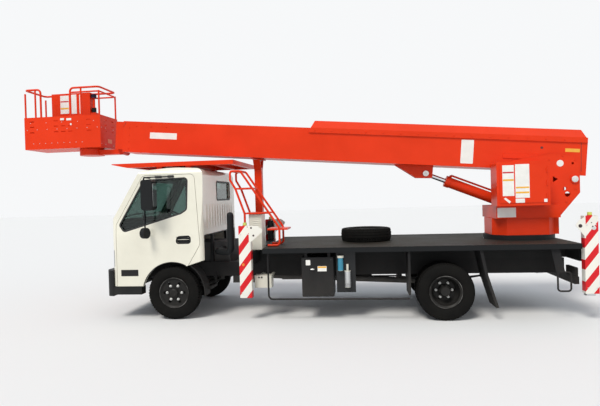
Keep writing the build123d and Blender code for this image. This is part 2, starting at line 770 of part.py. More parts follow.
for side, tag in ((left, "rl"), (right, "rr")):
    outer = side * (rear_middle + dual_spacing / 2)
    inner = side * (rear_middle - dual_spacing / 2)
    bore = spindle_radius + running_gap
    web = 12
    with BuildPart() as rims:
        add(turned(wheel_plane(wheelbase), [
            rim_profile(outer),
            rim_profile(inner),
            [(side * (rear_middle - web), bore), (side * (rear_middle - web), 150),
             (inner + side * 50, rim_radius - 8), (inner + side * 58, rim_radius - 4),
             (side * rear_middle, 170), (outer - side * 58, rim_radius - 4),
             (outer - side * 50, rim_radius - 8), (side * (rear_middle + web), 150),
             (side * (rear_middle + web), bore)],
            [(side * rear_hub[0], bore), (side * rear_hub[0], drum_radius),
             (side * (rear_hub[0] + 80), drum_radius), (side * (rear_hub[0] + 90), hub_radius),
             (side * (rear_middle + web), hub_radius), (side * (rear_middle + web + 4), rear_cap_radius),
             (side * rear_hub[1], rear_cap_radius - 12), (side * rear_hub[1], bore)],
            [(side * rear_hub[1], bore), (side * rear_hub[1], rear_cap_radius - 12),
             (side * (spindle_end + 20), rear_cap_radius - 24), (side * (spindle_end + 20), 0),
             (side * (spindle_end + 1), 0), (side * (spindle_end + 1), bore)],
        ]))
        with Locations(Plane(origin=(at(wheelbase), side * rear_middle, hub_z), z_dir=(0, side, 0))):
            with PolarLocations(hand_circle - 12, stud_count, start_angle=30):
                Cylinder(hand_hole - 8, 80, mode=Mode.SUBTRACT)
    write(rims.part, f"rims_{tag}")
    write(turned(wheel_plane(wheelbase), [tyre_profile(outer), tyre_profile(inner)]), f"tyres_{tag}")

# Spare wheel, flat on the deck
spare_x = 2820
spare_plane = Plane(origin=(at(spare_x), 0, deck_top), x_dir=(0, 0, 1), z_dir=(1, 0, 0))
write(turned(spare_plane, [tyre_profile(tyre_width / 2), rim_profile(tyre_width / 2),
                           [(tyre_width / 2 + 30, 110), (tyre_width / 2 + 30, rim_radius - 6),
                            (tyre_width / 2 + 42, rim_radius - 6), (tyre_width / 2 + 42, 110)]]),
      "spare_wheel")

# Slewing ring between the subframe and the turret
slew_bore = 380
ring_top = subframe_top + slew_height

with BuildPart() as slew_ring:
    pin((at(slew_x), 0, subframe_top), (at(slew_x), 0, ring_top), slew_radius)
    pin((at(slew_x), 0, subframe_top), (at(slew_x), 0, ring_top), slew_bore, mode=Mode.SUBTRACT)
write(slew_ring.part, "slew_ring")

# Turret: octagonal drum, two tall side plates, the pivot pin and the cylinder's foot pin
turret_floor = ring_top + running_gap
drum_half_length = 460
drum_half_width = 400
drum_chamfer = 170
drum_top = 1345
drum_wall = 12
band_half_length = 440
band_half_width = 425
band_top = 1530
plate_inner = boom_half_width + 20
plate_thickness = 25
pivot_pin_radius = 35
foot_pin_radius = 30
turret_plate = [(4830, turret_floor), (4830, 2060), (4900, 2150), (4990, 2190), (5520, 2262), (5800, 2225),
                (5890, 2090), (5890, 1690), (5590, 1340), (5590, turret_floor)]
plate_holes = ((5797, 2114, 18), (5680, 1752, 26), (5718, 1671, 38))
plate_notch = [(5521, 1847), (5521, 1939), (5595, 1893)]

with BuildPart() as turret_frame:
    with BuildSketch(Plane.XY.offset(turret_floor)) as drum_plan:
        with Locations((at(slew_x + 20), 0)):
            Rectangle(2 * drum_half_length, 2 * drum_half_width)
        chamfer(drum_plan.vertices(), drum_chamfer)
    extrude(amount=drum_top - turret_floor)
    with BuildSketch(Plane.XY.offset(turret_floor + 30)) as drum_cavity:
        with Locations((at(slew_x + 20), 0)):
            Rectangle(2 * drum_half_length, 2 * drum_half_width)
        chamfer(drum_cavity.vertices(), drum_chamfer)
        offset(amount=-drum_wall)
    extrude(amount=drum_top, mode=Mode.SUBTRACT)
    block((at(slew_x + 20 - band_half_length), at(slew_x + 20 + band_half_length)),
          (-band_half_width, band_half_width), (drum_top, band_top))
    block((at(slew_x + 20 - band_half_length + drum_wall), at(slew_x + 20 + band_half_length - drum_wall)),
          (-(band_half_width - drum_wall), band_half_width - drum_wall),
          (drum_top + drum_wall, band_top + 10), mode=Mode.SUBTRACT)
    for side in (left, right):
        add(side_plate(turret_plate, side * plate_inner, side * (plate_inner + plate_thickness)))
        pin((at(cylinder_base_x), side * 90, cylinder_base_z),
            (at(cylinder_base_x), side * plate_inner, cylinder_base_z), foot_pin_radius + 25)
        for x, z, radius in plate_holes:
            pin((at(x), side * (plate_inner - 5), z), (at(x), side * (plate_inner + 40), z), radius,
                mode=Mode.SUBTRACT)
        add(side_plate(plate_notch, side * (plate_inner - 5), side * (plate_inner + 40)), mode=Mode.SUBTRACT)
        pin((at(pivot_x), side * (plate_inner + plate_thickness), pivot_z),
            (at(pivot_x), side * (plate_inner + plate_thickness + 18), pivot_z), 62)
    add(side_plate([(5585, 1345), (5600, 1335), (5885, 1672), (5870, 1682)], -plate_inner, plate_inner))
    pin((at(cylinder_base_x), -plate_inner, cylinder_base_z),
        (at(cylinder_base_x), plate_inner, cylinder_base_z), foot_pin_radius)
    pin((at(pivot_x), -plate_inner, pivot_z), (at(pivot_x), plate_inner, pivot_z), pivot_pin_radius)
write(turret_frame.part, "turret_frame")

# Turret box: the cover on the left of the turret, with its door line and round top corner
box_x = (4655, 5370)
box_z = (1528, 2150)
box_y = (-(plate_inner + plate_thickness), -620)

with BuildPart() as turret_box:
    block((at(box_x[0]), at(box_x[1])), box_y, (band_top, box_z[1]))
    fillet(turret_box.edges().filter_by(Axis.Y).group_by(Axis.Z)[-1], 30)
    block((at(box_x[0] + 40), at(box_x[1] - 40)), (box_y[1], box_y[1] - 10), (band_top + 40, box_z[1] - 40))
write(turret_box.part, "turret_box")

# Boom: sections nested in each other, drawn along the boom from its pivot (u forwards, v upwards)
tilt = math.radians(boom_rest_angle)
boom_top = boom_bottom + boom_height
mid_inset = boom_wall + section_gap
mid_wall = 10
tip_inset = mid_inset + mid_wall + section_gap
mid_rear = 450
tip_rear = 600
pad_length = 90
head_range = (6925, 7045)
level_u = 6990
level_v = 120


def boom_point(u, v, y=0):
    """A place on the boom at rest, in the truck's own frame."""
    return (at(pivot_x) - u * math.cos(tilt) + v * math.sin(tilt), y,
            pivot_z + u * math.sin(tilt) + v * math.cos(tilt))


def boom_plane(y=0):
    """The boom's side view at a place across it."""
    return Plane(origin=boom_point(0, 0, y), x_dir=(-math.cos(tilt), 0, math.sin(tilt)), z_dir=(0, 1, 0))


def boom_section(u_range, inset, half_width=boom_half_width):
    """A solid bar along the boom, inset from the base section's outside."""
    with BuildPart() as bar:
        with BuildSketch(boom_plane()):
            with Locations(((u_range[0] + u_range[1]) / 2, boom_bottom + boom_height / 2)):
                Rectangle(u_range[1] - u_range[0], boom_height - 2 * inset)
        extrude(amount=half_width - inset, both=True)
    return bar.part


def boom_plate(points, y_from, y_to):
    """A plate drawn in the boom's side view as (u, v)."""
    with BuildPart() as plate:
        with BuildSketch(boom_plane(min(y_from, y_to))):
            with BuildLine():
                Polyline(*points, close=True)
            make_face()
        extrude(amount=abs(y_to - y_from))
    return plate.part


eye_bracket = ((2560, boom_bottom), (2213, -83), (1975, -72), (1970, boom_bottom))
eye_bracket_y = (56, 84)
pivot_lug = ((boom_tail, boom_bottom), (boom_tail, 56), (-70, 56), (-62, -40), (62, -40), (420, boom_bottom))
pivot_lug_width = 40
pivot_tube_radius = 70

with BuildPart() as boom_tube:
    add(boom_section((boom_tail, boom_front), 0))
    add(boom_section((boom_tail + 15, boom_front + 10), boom_wall), mode=Mode.SUBTRACT)
    add(boom_section((boom_front - pad_length, boom_front), boom_wall))
    add(boom_section((boom_front - pad_length - 10, boom_front + 10), mid_inset - running_gap),
        mode=Mode.SUBTRACT)

with BuildPart() as pivot_lugs:
    for side in (left, right):
        add(boom_plate(pivot_lug, side * boom_half_width, side * (boom_half_width - pivot_lug_width)))
    pin(boom_point(0, 0, -boom_half_width), boom_point(0, 0, boom_half_width), pivot_tube_radius)
    pin(boom_point(0, 0, -boom_half_width), boom_point(0, 0, boom_half_width),
        pivot_pin_radius + running_gap, mode=Mode.SUBTRACT)

with BuildPart() as eye_brackets:
    for side in (left, right):
        add(boom_plate(eye_bracket, side * eye_bracket_y[0], side * eye_bracket_y[1]))
        pin(boom_point(rod_eye_u, rod_eye_v, side * eye_bracket_y[1]),
            boom_point(rod_eye_u, rod_eye_v, side * (eye_bracket_y[1] + 22)), 42)

# The lugs and eye brackets are plates of their own, welded under the flat of the tube
write(Compound([*boom_tube.solids(), *pivot_lugs.solids(), *eye_brackets.solids()]), "boom_base")

# Boom hood: the cover with sloping shoulders on top of the base section
hood_bottom = 530
hood_shoulder = 605
hood_top = 727
hood_half = 270
hood_top_half = 165
hood_side = [(-160, hood_bottom), (3892, hood_bottom), (3814, hood_top), (-95, hood_top)]

with BuildPart() as boom_hood:
    with BuildSketch(Plane(origin=boom_point(-200, 0), x_dir=(0, -1, 0),
                           z_dir=(-math.cos(tilt), 0, math.sin(tilt)))):
        with BuildLine():
            Polyline((-hood_half, hood_bottom), (-hood_half, hood_shoulder), (-hood_top_half, hood_top),
                     (hood_top_half, hood_top), (hood_half, hood_shoulder), (hood_half, hood_bottom),
                     close=True)
        make_face()
        with Locations((0, hood_bottom)):
            Rectangle(2 * (boom_half_width + seat_gap), 2 * (boom_top + seat_gap - hood_bottom),
                      mode=Mode.SUBTRACT)
        with BuildLine():
            Polyline((-225, boom_top), (225, boom_top), (150, hood_top - 10), (-150, hood_top - 10),
                     close=True)
        make_face(mode=Mode.SUBTRACT)
    extrude(amount=4200)
    add(boom_plate(hood_side, -hood_half, hood_half), mode=Mode.INTERSECT)
write(boom_hood.part, "boom_hood")

# Middle and tip sections; the tip carries the head with the lugs of the levelling pin
with BuildPart() as boom_mid:
    add(boom_section((mid_rear, boom_front + 12), mid_inset))
    add(boom_section((mid_rear - 10, boom_front + 20), mid_inset + mid_wall), mode=Mode.SUBTRACT)
    add(boom_section((boom_front + 12 - pad_length, boom_front + 12), mid_inset + mid_wall))
    add(boom_section((boom_front - pad_length, boom_front + 20), tip_inset - running_gap),
        mode=Mode.SUBTRACT)
write(boom_mid.part, "boom_mid")

level_pin_radius = 22
level_lug_radius = 50
level_lug_y = (88, 112)
head_half = 200
head_bottom = 200

with BuildPart() as boom_tip:
    add(boom_section((tip_rear, head_range[1]), tip_inset))
    add(boom_plate([(head_range[0], head_bottom), (head_range[1], head_bottom),
                    (head_range[1], boom_top - 5), (head_range[0], boom_top - 5)], -head_half, head_half))
    add(boom_section((tip_rear - 10, head_range[0] + 60), tip_inset + mid_wall), mode=Mode.SUBTRACT)
    for side in (left, right):
        add(boom_plate([(level_u - level_lug_radius, level_v), (level_u + level_lug_radius, level_v),
                        (level_u + level_lug_radius, head_bottom),
                        (level_u - level_lug_radius, head_bottom)],
                       side * level_lug_y[0], side * level_lug_y[1]))
        pin(boom_point(level_u, level_v, side * level_lug_y[0]),
            boom_point(level_u, level_v, side * level_lug_y[1]), level_lug_radius)
    add(boom_plate([(head_range[0] - 5, 100), (head_range[1] + 5, 100), (head_range[1] + 5, head_bottom),
                    (head_range[0] - 5, head_bottom)], -level_lug_y[0], level_lug_y[0]), mode=Mode.SUBTRACT)
    pin(boom_point(level_u, level_v, -level_lug_y[1]), boom_point(level_u, level_v, level_lug_y[1]),
        level_pin_radius)
write(boom_tip.part, "boom_tip")

# Lift cylinder: the barrel on the turret's foot pin and the rod that ends at the boom's bracket
cylinder_base = Vector(at(cylinder_base_x), 0, cylinder_base_z)
rod_eye = Vector(*boom_point(rod_eye_u, rod_eye_v))
cylinder_axis = (rod_eye - cylinder_base).normalized()
cylinder_length = (rod_eye - cylinder_base).length
barrel_radius = 80
barrel_bore = 68
rod_radius = 35
gland_radius = 88
gland_length = 70
barrel_end = 1244
rod_start = 160
eye_half = 50
feed_radius = 15
feed_height = 110
feed_range = (170, 1190)


def along_cylinder(distance):
    """A place on the cylinder's axis, measured from its foot pin."""
    return tuple(cylinder_base + cylinder_axis * distance)


def across_cylinder(distance, y):
    """A place beside the cylinder's axis."""
    x, _, z = along_cylinder(distance)
    return (x, y, z)


def above_cylinder(distance, height):
    """A place over the cylinder's axis, square to it."""
    return tuple(Vector(*along_cylinder(distance)) + Vector(cylinder_axis.Z, 0, -cylinder_axis.X) * height)


with BuildPart() as lift_barrel:
    pin(across_cylinder(0, -eye_half), across_cylinder(0, eye_half), foot_pin_radius + 30)
    pin(along_cylinder(40), along_cylinder(barrel_end), barrel_radius)
    pin(along_cylinder(barrel_end - gland_length), along_cylinder(barrel_end), gland_radius)
    pin(along_cylinder(110), along_cylinder(barrel_end - gland_length), barrel_bore, mode=Mode.SUBTRACT)
    pin(along_cylinder(110), along_cylinder(barrel_end + 10), rod_radius + running_gap, mode=Mode.SUBTRACT)
    pin(across_cylinder(0, -eye_half - 60), across_cylinder(0, eye_half + 60), foot_pin_radius + running_gap,
        mode=Mode.SUBTRACT)
    pin(above_cylinder(feed_range[0], feed_height), above_cylinder(feed_range[1], feed_height), feed_radius)
    for port in feed_range:
        pin(above_cylinder(port, barrel_bore + 2), above_cylinder(port, feed_height), feed_radius + 6)
write(lift_barrel.part, "lift_barrel")

with BuildPart() as lift_rod:
    pin(along_cylinder(rod_start), along_cylinder(cylinder_length - 20), rod_radius)
    pin(along_cylinder(rod_start), along_cylinder(rod_start + 60), barrel_bore - running_gap)
    pin(across_cylinder(cylinder_length, -eye_half), across_cylinder(cylinder_length, eye_half), 52)
    pin(across_cylinder(cylinder_length, -eye_half - 5), across_cylinder(cylinder_length, eye_half + 5),
        foot_pin_radius - 4, mode=Mode.SUBTRACT)
write(lift_rod.part, "lift_rod")

# Platform bracket: the levelling arm under the basket and the drum that the basket swings on
level_x, _, level_z = boom_point(level_u, level_v)
swing_x = at(-1700)
swing_drum_radius = 195
swing_drum_z = (2535, 2640)
arm_half = 82
arm_z = (2540, 2618)

with BuildPart() as platform_bracket:
    block((swing_x, level_x), (-arm_half, arm_half), arm_z)
    pin((level_x, -arm_half, level_z), (level_x, arm_half, level_z), 46)
    pin((swing_x, 0, swing_drum_z[0]), (swing_x, 0, swing_drum_z[1]), swing_drum_radius)
    pin((level_x, -arm_half - 10, level_z), (level_x, arm_half + 10, level_z),
        level_pin_radius + running_gap, mode=Mode.SUBTRACT)
write(platform_bracket.part, "platform_bracket")

# Basket: floor, slotted panels, lip, guard rails and the control box
basket_right = -1390
basket_left = basket_right - basket_length
panel_thickness = 12
panel_top = basket_floor_z + basket_panel
rail_z = basket_floor_z + basket_rail_height
rail_radius = 16
rail_y = basket_half_width - 18
rail_inset = 18
slot_size = (75, 14)
slot_rows = (250, 342, 428)
slot_columns = (0.10, 0.42, 0.515, 0.61, 0.85)
control_x = (-2500, -1800)
control_y = (150, 262)
lever_x = -1757
lever_y = 205
anchor_radius = 12
anchor_thickness = 12
gate_x = (-2420, -1903)
floor_underside = basket_floor_z - 20

with BuildPart() as basket:
    block((at(basket_left), at(basket_right)), (-basket_half_width, basket_half_width),
          (floor_underside, panel_top))
    block((at(basket_left + panel_thickness), at(basket_right - panel_thickness)),
          (-(basket_half_width - panel_thickness), basket_half_width - panel_thickness),
          (basket_floor_z, panel_top), mode=Mode.SUBTRACT)
    for row in slot_rows:
        for column in slot_columns:
            middle = basket_left + column * basket_length
            block((at(middle - slot_size[0] / 2), at(middle + slot_size[0] / 2)),
                  (-basket_half_width - 5, basket_half_width + 5),
                  (basket_floor_z + row, basket_floor_z + row + slot_size[1]), mode=Mode.SUBTRACT)
        for y in (-110, 110):
            block((at(basket_left - 5), at(basket_right + 5)), (y - slot_size[0] / 2, y + slot_size[0] / 2),
                  (basket_floor_z + row, basket_floor_z + row + slot_size[1]), mode=Mode.SUBTRACT)
    block((at(basket_left), at(basket_right)), (-basket_half_width, basket_half_width),
          (panel_top - 16, panel_top + 6))
    block((at(basket_left + 36), at(basket_right - 36)), (-(basket_half_width - 36), basket_half_width - 36),
          (panel_top - 20, panel_top + 10), mode=Mode.SUBTRACT)
    rail_left = at(basket_left + rail_inset)
    rail_right = at(basket_right - rail_inset)
    add(pipe([(at(gate_x[1]), -rail_y, panel_top), (at(gate_x[1]), -rail_y, rail_z),
              (rail_right, -rail_y, rail_z), (rail_right, rail_y, rail_z), (rail_left, rail_y, rail_z),
              (rail_left, -rail_y, rail_z), (at(gate_x[0]), -rail_y, rail_z),
              (at(gate_x[0]), -rail_y, panel_top)], 60, rail_radius))
    for x, y in ((rail_right, -rail_y), (rail_right, rail_y), (rail_left, -rail_y), (rail_left, rail_y),
                 (at(-1716), -rail_y), (at(-2050), rail_y), (at(-2515), -rail_y)):
        pin((x, y, panel_top), (x, y, rail_z - 60 if x in (rail_left, rail_right) else rail_z),
            rail_radius - 2)
    add(pipe([(at(gate_x[1]), -rail_y, rail_z - 72), (rail_right, -rail_y, rail_z - 72),
              (rail_right, rail_y, rail_z - 72), (at(-2050), rail_y, rail_z - 72)], 55, rail_radius - 3))
    block((at(control_x[0]), at(control_x[1])), control_y, (basket_floor_z, rail_z + 10))
    block((at(control_x[1]), at(control_x[1] + 95)), (control_y[0] + 10, control_y[1]),
          (rail_z - 395, rail_z - 335))
    for radius, low, high in ((35, 335, 245), (19, 245, 90), (42, 90, 8)):
        pin((at(lever_x), lever_y, rail_z - low), (at(lever_x), lever_y, rail_z - high), radius)
    for end, inwards in ((basket_left + panel_thickness, 1), (basket_right - panel_thickness, -1)):
        block((at(end), at(end + inwards * 40)), (-anchor_thickness / 2, anchor_thickness / 2),
              (panel_top - 120, panel_top - 60))
        pin((at(end + inwards * 22), -anchor_thickness, panel_top - 90),
            (at(end + inwards * 22), anchor_thickness, panel_top - 90), anchor_radius, mode=Mode.SUBTRACT)
    pin((swing_x, 0, swing_drum_z[1] + running_gap), (swing_x, 0, floor_underside), swing_drum_radius - 20)
write(basket.part, "basket")

# Outriggers: sliding beams with upright jacks, their striped covers and the feet
beam_wall = 8
beam_start = 14
jack_top = 1330
jack_bottom = 375
cover_z = (340, 1355)
cover_sheet = 5
ear_front = [(60, 1355), (185, 1355), (258, 1300), (250, 1262), (60, 1105)]
ear_rear = [(-60, 1390), (-150, 1330), (-192, 1270), (-70, 1105), (-60, 1105)]
foot_radius = 70
foot_thickness = 25
ram_radius = 35
ram_top = 1250
half_beam = housing_width / 2 - housing_wall - running_gap
beam_z = (housing_bottom + housing_wall + running_gap, housing_top - housing_wall - running_gap)

# place, name of the row, ear of its cover, and how much higher the cover sits
outrigger_rows = ((front_outrigger_x, "front", ear_front, 0), (rear_outrigger_x, "rear", ear_rear, 35))

for place, row, ear, lift in outrigger_rows:
    for side, tag in ((left, "l"), (right, "r")):
        centre_y = side * outrigger_half_span
        skin = side * cover_reach
        with BuildPart() as outrigger:
            block((at(place - half_beam), at(place + half_beam)), (side * beam_start, centre_y), beam_z)
            block((at(place - half_beam + beam_wall), at(place + half_beam - beam_wall)),
                  (side * (beam_start - 5), side * (outrigger_half_span - jack_radius - 30)),
                  (beam_z[0] + beam_wall, beam_z[1] - beam_wall), mode=Mode.SUBTRACT)
            pin((at(place), centre_y, jack_bottom), (at(place), centre_y, jack_top), jack_radius)
            pin((at(place), centre_y, jack_bottom), (at(place), centre_y, jack_top - 20),
                ram_radius + running_gap, mode=Mode.SUBTRACT)
            low, high = cover_z[0] + lift, cover_z[1] + lift
            block((at(place - cover_width / 2), at(place + cover_width / 2)),
                  (skin, skin - side * cover_sheet), (low, high))
            for end in (-1, 1):
                edge = place + end * cover_width / 2
                block((at(edge), at(edge - end * cover_sheet)), (skin, skin - side * 110), (low, high))
            for z in (460, 1215):
                block((at(place - 20), at(place + 20)), (centre_y + side * (jack_radius - 8), skin),
                      (z, z + 40))
            add(side_plate([(place + x, z) for x, z in ear], skin, skin - side * cover_sheet))
            pin((at(place), centre_y + side * 40, high), (at(place), centre_y + side * 40, high + 8), 32)
            pin((at(place), centre_y + side * 40, high + 8),
                (at(place), centre_y + side * 40, high + 45), 26)
            block((at(place - 40), at(place + 40)), (skin, centre_y + side * 20), (high - 6, high))
        write(outrigger.part, f"outrigger_{row}_{tag}")
        with BuildPart() as jack:
            pin((at(place), centre_y, jack_bottom - 10), (at(place), centre_y, ram_top), ram_radius)
            pin((at(place), centre_y, jack_bottom - 5 - foot_thickness),
                (at(place), centre_y, jack_bottom - 5), foot_radius)
        write(jack.part, f"jack_{row}_{tag}")

# Boom rest: a post on the front outrigger housing with a flared head under the boom
rest_gap = 8
post_x = (1072, 1187)
post_half = 55
head_x = (1045, 1225)
rest_head_half = 150
flare_z = 2230


def under_boom(x):
    """Height of the boom's underside above a place along the truck."""
    return pivot_z + (boom_bottom + (pivot_x - x) * math.sin(tilt)) / math.cos(tilt)


with BuildPart() as boom_rest:
    block((at(post_x[0]), at(post_x[1])), (-post_half, post_half), (housing_top, flare_z))
    add(side_plate([(head_x[0], under_boom(head_x[0]) - rest_gap),
                    (head_x[1], under_boom(head_x[1]) - rest_gap),
                    (head_x[1], under_boom(head_x[1]) - rest_gap - 14),
                    (head_x[0], under_boom(head_x[0]) - rest_gap - 14)], -rest_head_half, rest_head_half))
    for side in (left, right):
        with BuildSketch(Plane.YZ.offset(at(post_x[0]))):
            with BuildLine():
                Polyline((side * (post_half - 14), flare_z - 40), (side * post_half, flare_z - 40),
                         (side * rest_head_half, under_boom(head_x[1]) - rest_gap - 10),
                         (side * (rest_head_half - 16), under_boom(head_x[1]) - rest_gap - 10), close=True)
            make_face()
        extrude(amount=post_x[1] - post_x[0])
write(boom_rest.part, "boom_rest")

# Ladder from the deck up to the roof guard: two bent side frames joined by treads
ladder_y = (-720, -360)
ladder_radius = 16
ladder_foot_x = 1050
ladder_base_x = 1560

with BuildPart() as ladder:
    for y in ladder_y:
        add(pipe([(at(deck_front + 25), y, deck_top + ladder_radius + seat_gap),
                  (at(ladder_base_x), y, deck_top + ladder_radius + seat_gap), (at(ladder_base_x), y, 1300),
                  (at(1000), y, 2150), (at(845), y, 2150), (at(845), y, 2020), (at(920), y, 1890),
                  (at(ladder_foot_x), y, 1520), (at(ladder_foot_x), y, housing_top)],
                 [45, 60, 50, 40, 40, 60, 80], ladder_radius))
    for x_from, x_to, z in ((920, 1170, 1890), (1050, 1300, 1520), (1380, 1680, 1280), (845, 1000, 2150)):
        block((at(x_from), at(x_to)), ladder_y, (z - 12, z + 12))
    for y in ladder_y:
        pin((at(1300), y, 1520), (at(1413), y, 1520), 12)
        pin((at(1170), y, 1890), (at(1174), y, 1890), 12)
write(ladder.part, "ladder")

# Hydraulic units: the valve cabinet behind the cab and the hand pump with its filter under the deck
cabinet_x = (1100, 1290)
cabinet_y = (-675, -400)
cabinet_z = (housing_top, 1500)
tank_box_x = (1206, 1457)
tank_box_y = (-900, -740)
tank_box_z = (456, 631)
pump_plate_x = (2389, 2655)
pump_plate_y = (-930, -920)

with BuildPart() as hydraulic_units:
    block((at(cabinet_x[0]), at(cabinet_x[1])), cabinet_y, cabinet_z)
    block((at(tank_box_x[0]), at(tank_box_x[1])), tank_box_y, tank_box_z)
    fillet(hydraulic_units.edges().filter_by(Axis.Z).group_by(Axis.Z)[0], 12)
    for place in (tank_box_x[0] + 50, tank_box_x[1] - 50):
        block((at(place - 15), at(place + 15)), (-rail_outer, tank_box_y[1]),
              (frame_bottom + 20, frame_bottom + 50))
    block((at(pump_plate_x[0]), at(pump_plate_x[1])), pump_plate_y, (390, deck_underside))
    pin((at(2450), -962, 700), (at(2450), -962, 880), 38)
    pin((at(2450), -962, 880), (at(2450), -962, 910), 46)
    pin((at(2545), -966, 470), (at(2545), -966, 700), 42)
    pin((at(2545), -966, 700), (at(2545), -966, 790), 16)
write(hydraulic_units.part, "hydraulic_units")

# Locker under the deck with its hinged door
locker_x = (1905, 2350)
locker_y = (-972, -560)
locker_z = (340, 890)
locker_wall = 10
locker_door_thickness = 14

with BuildPart() as locker:
    block((at(locker_x[0]), at(locker_x[1])), locker_y, locker_z)
    block((at(locker_x[0] + locker_wall), at(locker_x[1] - locker_wall)),
          (locker_y[0] - 10, locker_y[1] - locker_wall),
          (locker_z[0] + locker_wall, locker_z[1] - locker_wall), mode=Mode.SUBTRACT)
    for place in (locker_x[0] + 60, locker_x[1] - 60):
        block((at(place - 20), at(place + 20)), locker_y, (locker_z[1], deck_underside))
write(locker.part, "locker")

with BuildPart() as locker_door:
    block((at(locker_x[0]), at(locker_x[1])),
          (locker_y[0] - seat_gap, locker_y[0] - seat_gap - locker_door_thickness), locker_z)
    fillet(locker_door.edges().filter_by(Axis.Y), 20)
write(locker_door.part, "locker_door")

# Rear bumper with its brackets and the lamps
rear_bar_x = (frame_rear, frame_rear + 60)
rear_bar_half = 870
rear_bar_z = (470, 570)

with BuildPart() as rear_bumper:
    block((at(rear_bar_x[0]), at(rear_bar_x[1])), (-rear_bar_half, rear_bar_half), rear_bar_z)
    for side in (left, right):
        block((at(rear_bar_x[0]), at(rear_bar_x[0] + 40)),
              (side * rail_outer, side * (rail_outer - rail_flange)), (rear_bar_z[1], frame_top - 10))
        block((at(rear_bar_x[0] + 10), at(rear_bar_x[0] + 50)), (side * 560, side * 860),
              (rear_bar_z[1], 690))
write(rear_bumper.part, "rear_bumper")
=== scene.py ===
import bmesh
import bpy
import math
import numpy as np
from mathutils import Matrix, Vector


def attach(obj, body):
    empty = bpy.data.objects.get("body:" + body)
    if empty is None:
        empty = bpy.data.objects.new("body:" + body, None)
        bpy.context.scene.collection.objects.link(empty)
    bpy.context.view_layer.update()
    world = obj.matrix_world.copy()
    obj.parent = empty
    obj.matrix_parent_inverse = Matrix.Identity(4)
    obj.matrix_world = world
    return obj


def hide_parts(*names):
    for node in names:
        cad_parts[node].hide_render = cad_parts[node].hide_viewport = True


# Cherry picker truck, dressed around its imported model. Metres, +Z up, the cab faces -X, the left side is -Y.
# Places along X are given from the front axle, which lies at front_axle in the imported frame.
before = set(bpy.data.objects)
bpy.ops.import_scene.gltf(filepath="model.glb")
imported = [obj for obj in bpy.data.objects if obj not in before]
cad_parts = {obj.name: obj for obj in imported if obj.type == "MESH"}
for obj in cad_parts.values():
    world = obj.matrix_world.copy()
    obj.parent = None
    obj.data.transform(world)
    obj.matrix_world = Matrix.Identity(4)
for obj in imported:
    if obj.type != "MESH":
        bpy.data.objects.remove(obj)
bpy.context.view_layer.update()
front_axle = -1.662


def at(x):
    """A place along the truck, measured from the front axle."""
    return front_axle + np.asarray(x, float)


# The stage: a pale floor, an even sky, one soft sun from the front left and a wide fill beside it.
# They are only a setting, so the floor belongs to no body and stays out of the truck.
class Shade:
    """One shader value of a finish. Arithmetic on it adds the Math nodes that work it out."""

    def __init__(self, finish, socket):
        self.finish = finish
        self.socket = socket

    def sum(self, operation, *others, first=True):
        values = (self, *others) if first else (*others, self)
        return self.finish.node("ShaderNodeMath", {"operation": operation}, dict(enumerate(values)))

    def __add__(self, other):
        return self.sum("ADD", other)

    def __sub__(self, other):
        return self.sum("SUBTRACT", other)

    def __rsub__(self, other):
        return self.sum("SUBTRACT", other, first=False)

    def __mul__(self, other):
        return self.sum("MULTIPLY", other)

    def __truediv__(self, other):
        return self.sum("DIVIDE", other)

    def __mod__(self, other):
        return self.sum("WRAP", other, 0.0)

    def __gt__(self, other):
        return self.sum("GREATER_THAN", other)

    def __lt__(self, other):
        return self.sum("LESS_THAN", other)

    def size(self):
        return self.sum("ABSOLUTE")

    def clip(self):
        return self.finish.node("ShaderNodeClamp", {}, {0: self})

    __radd__ = __add__
    __rmul__ = __mul__


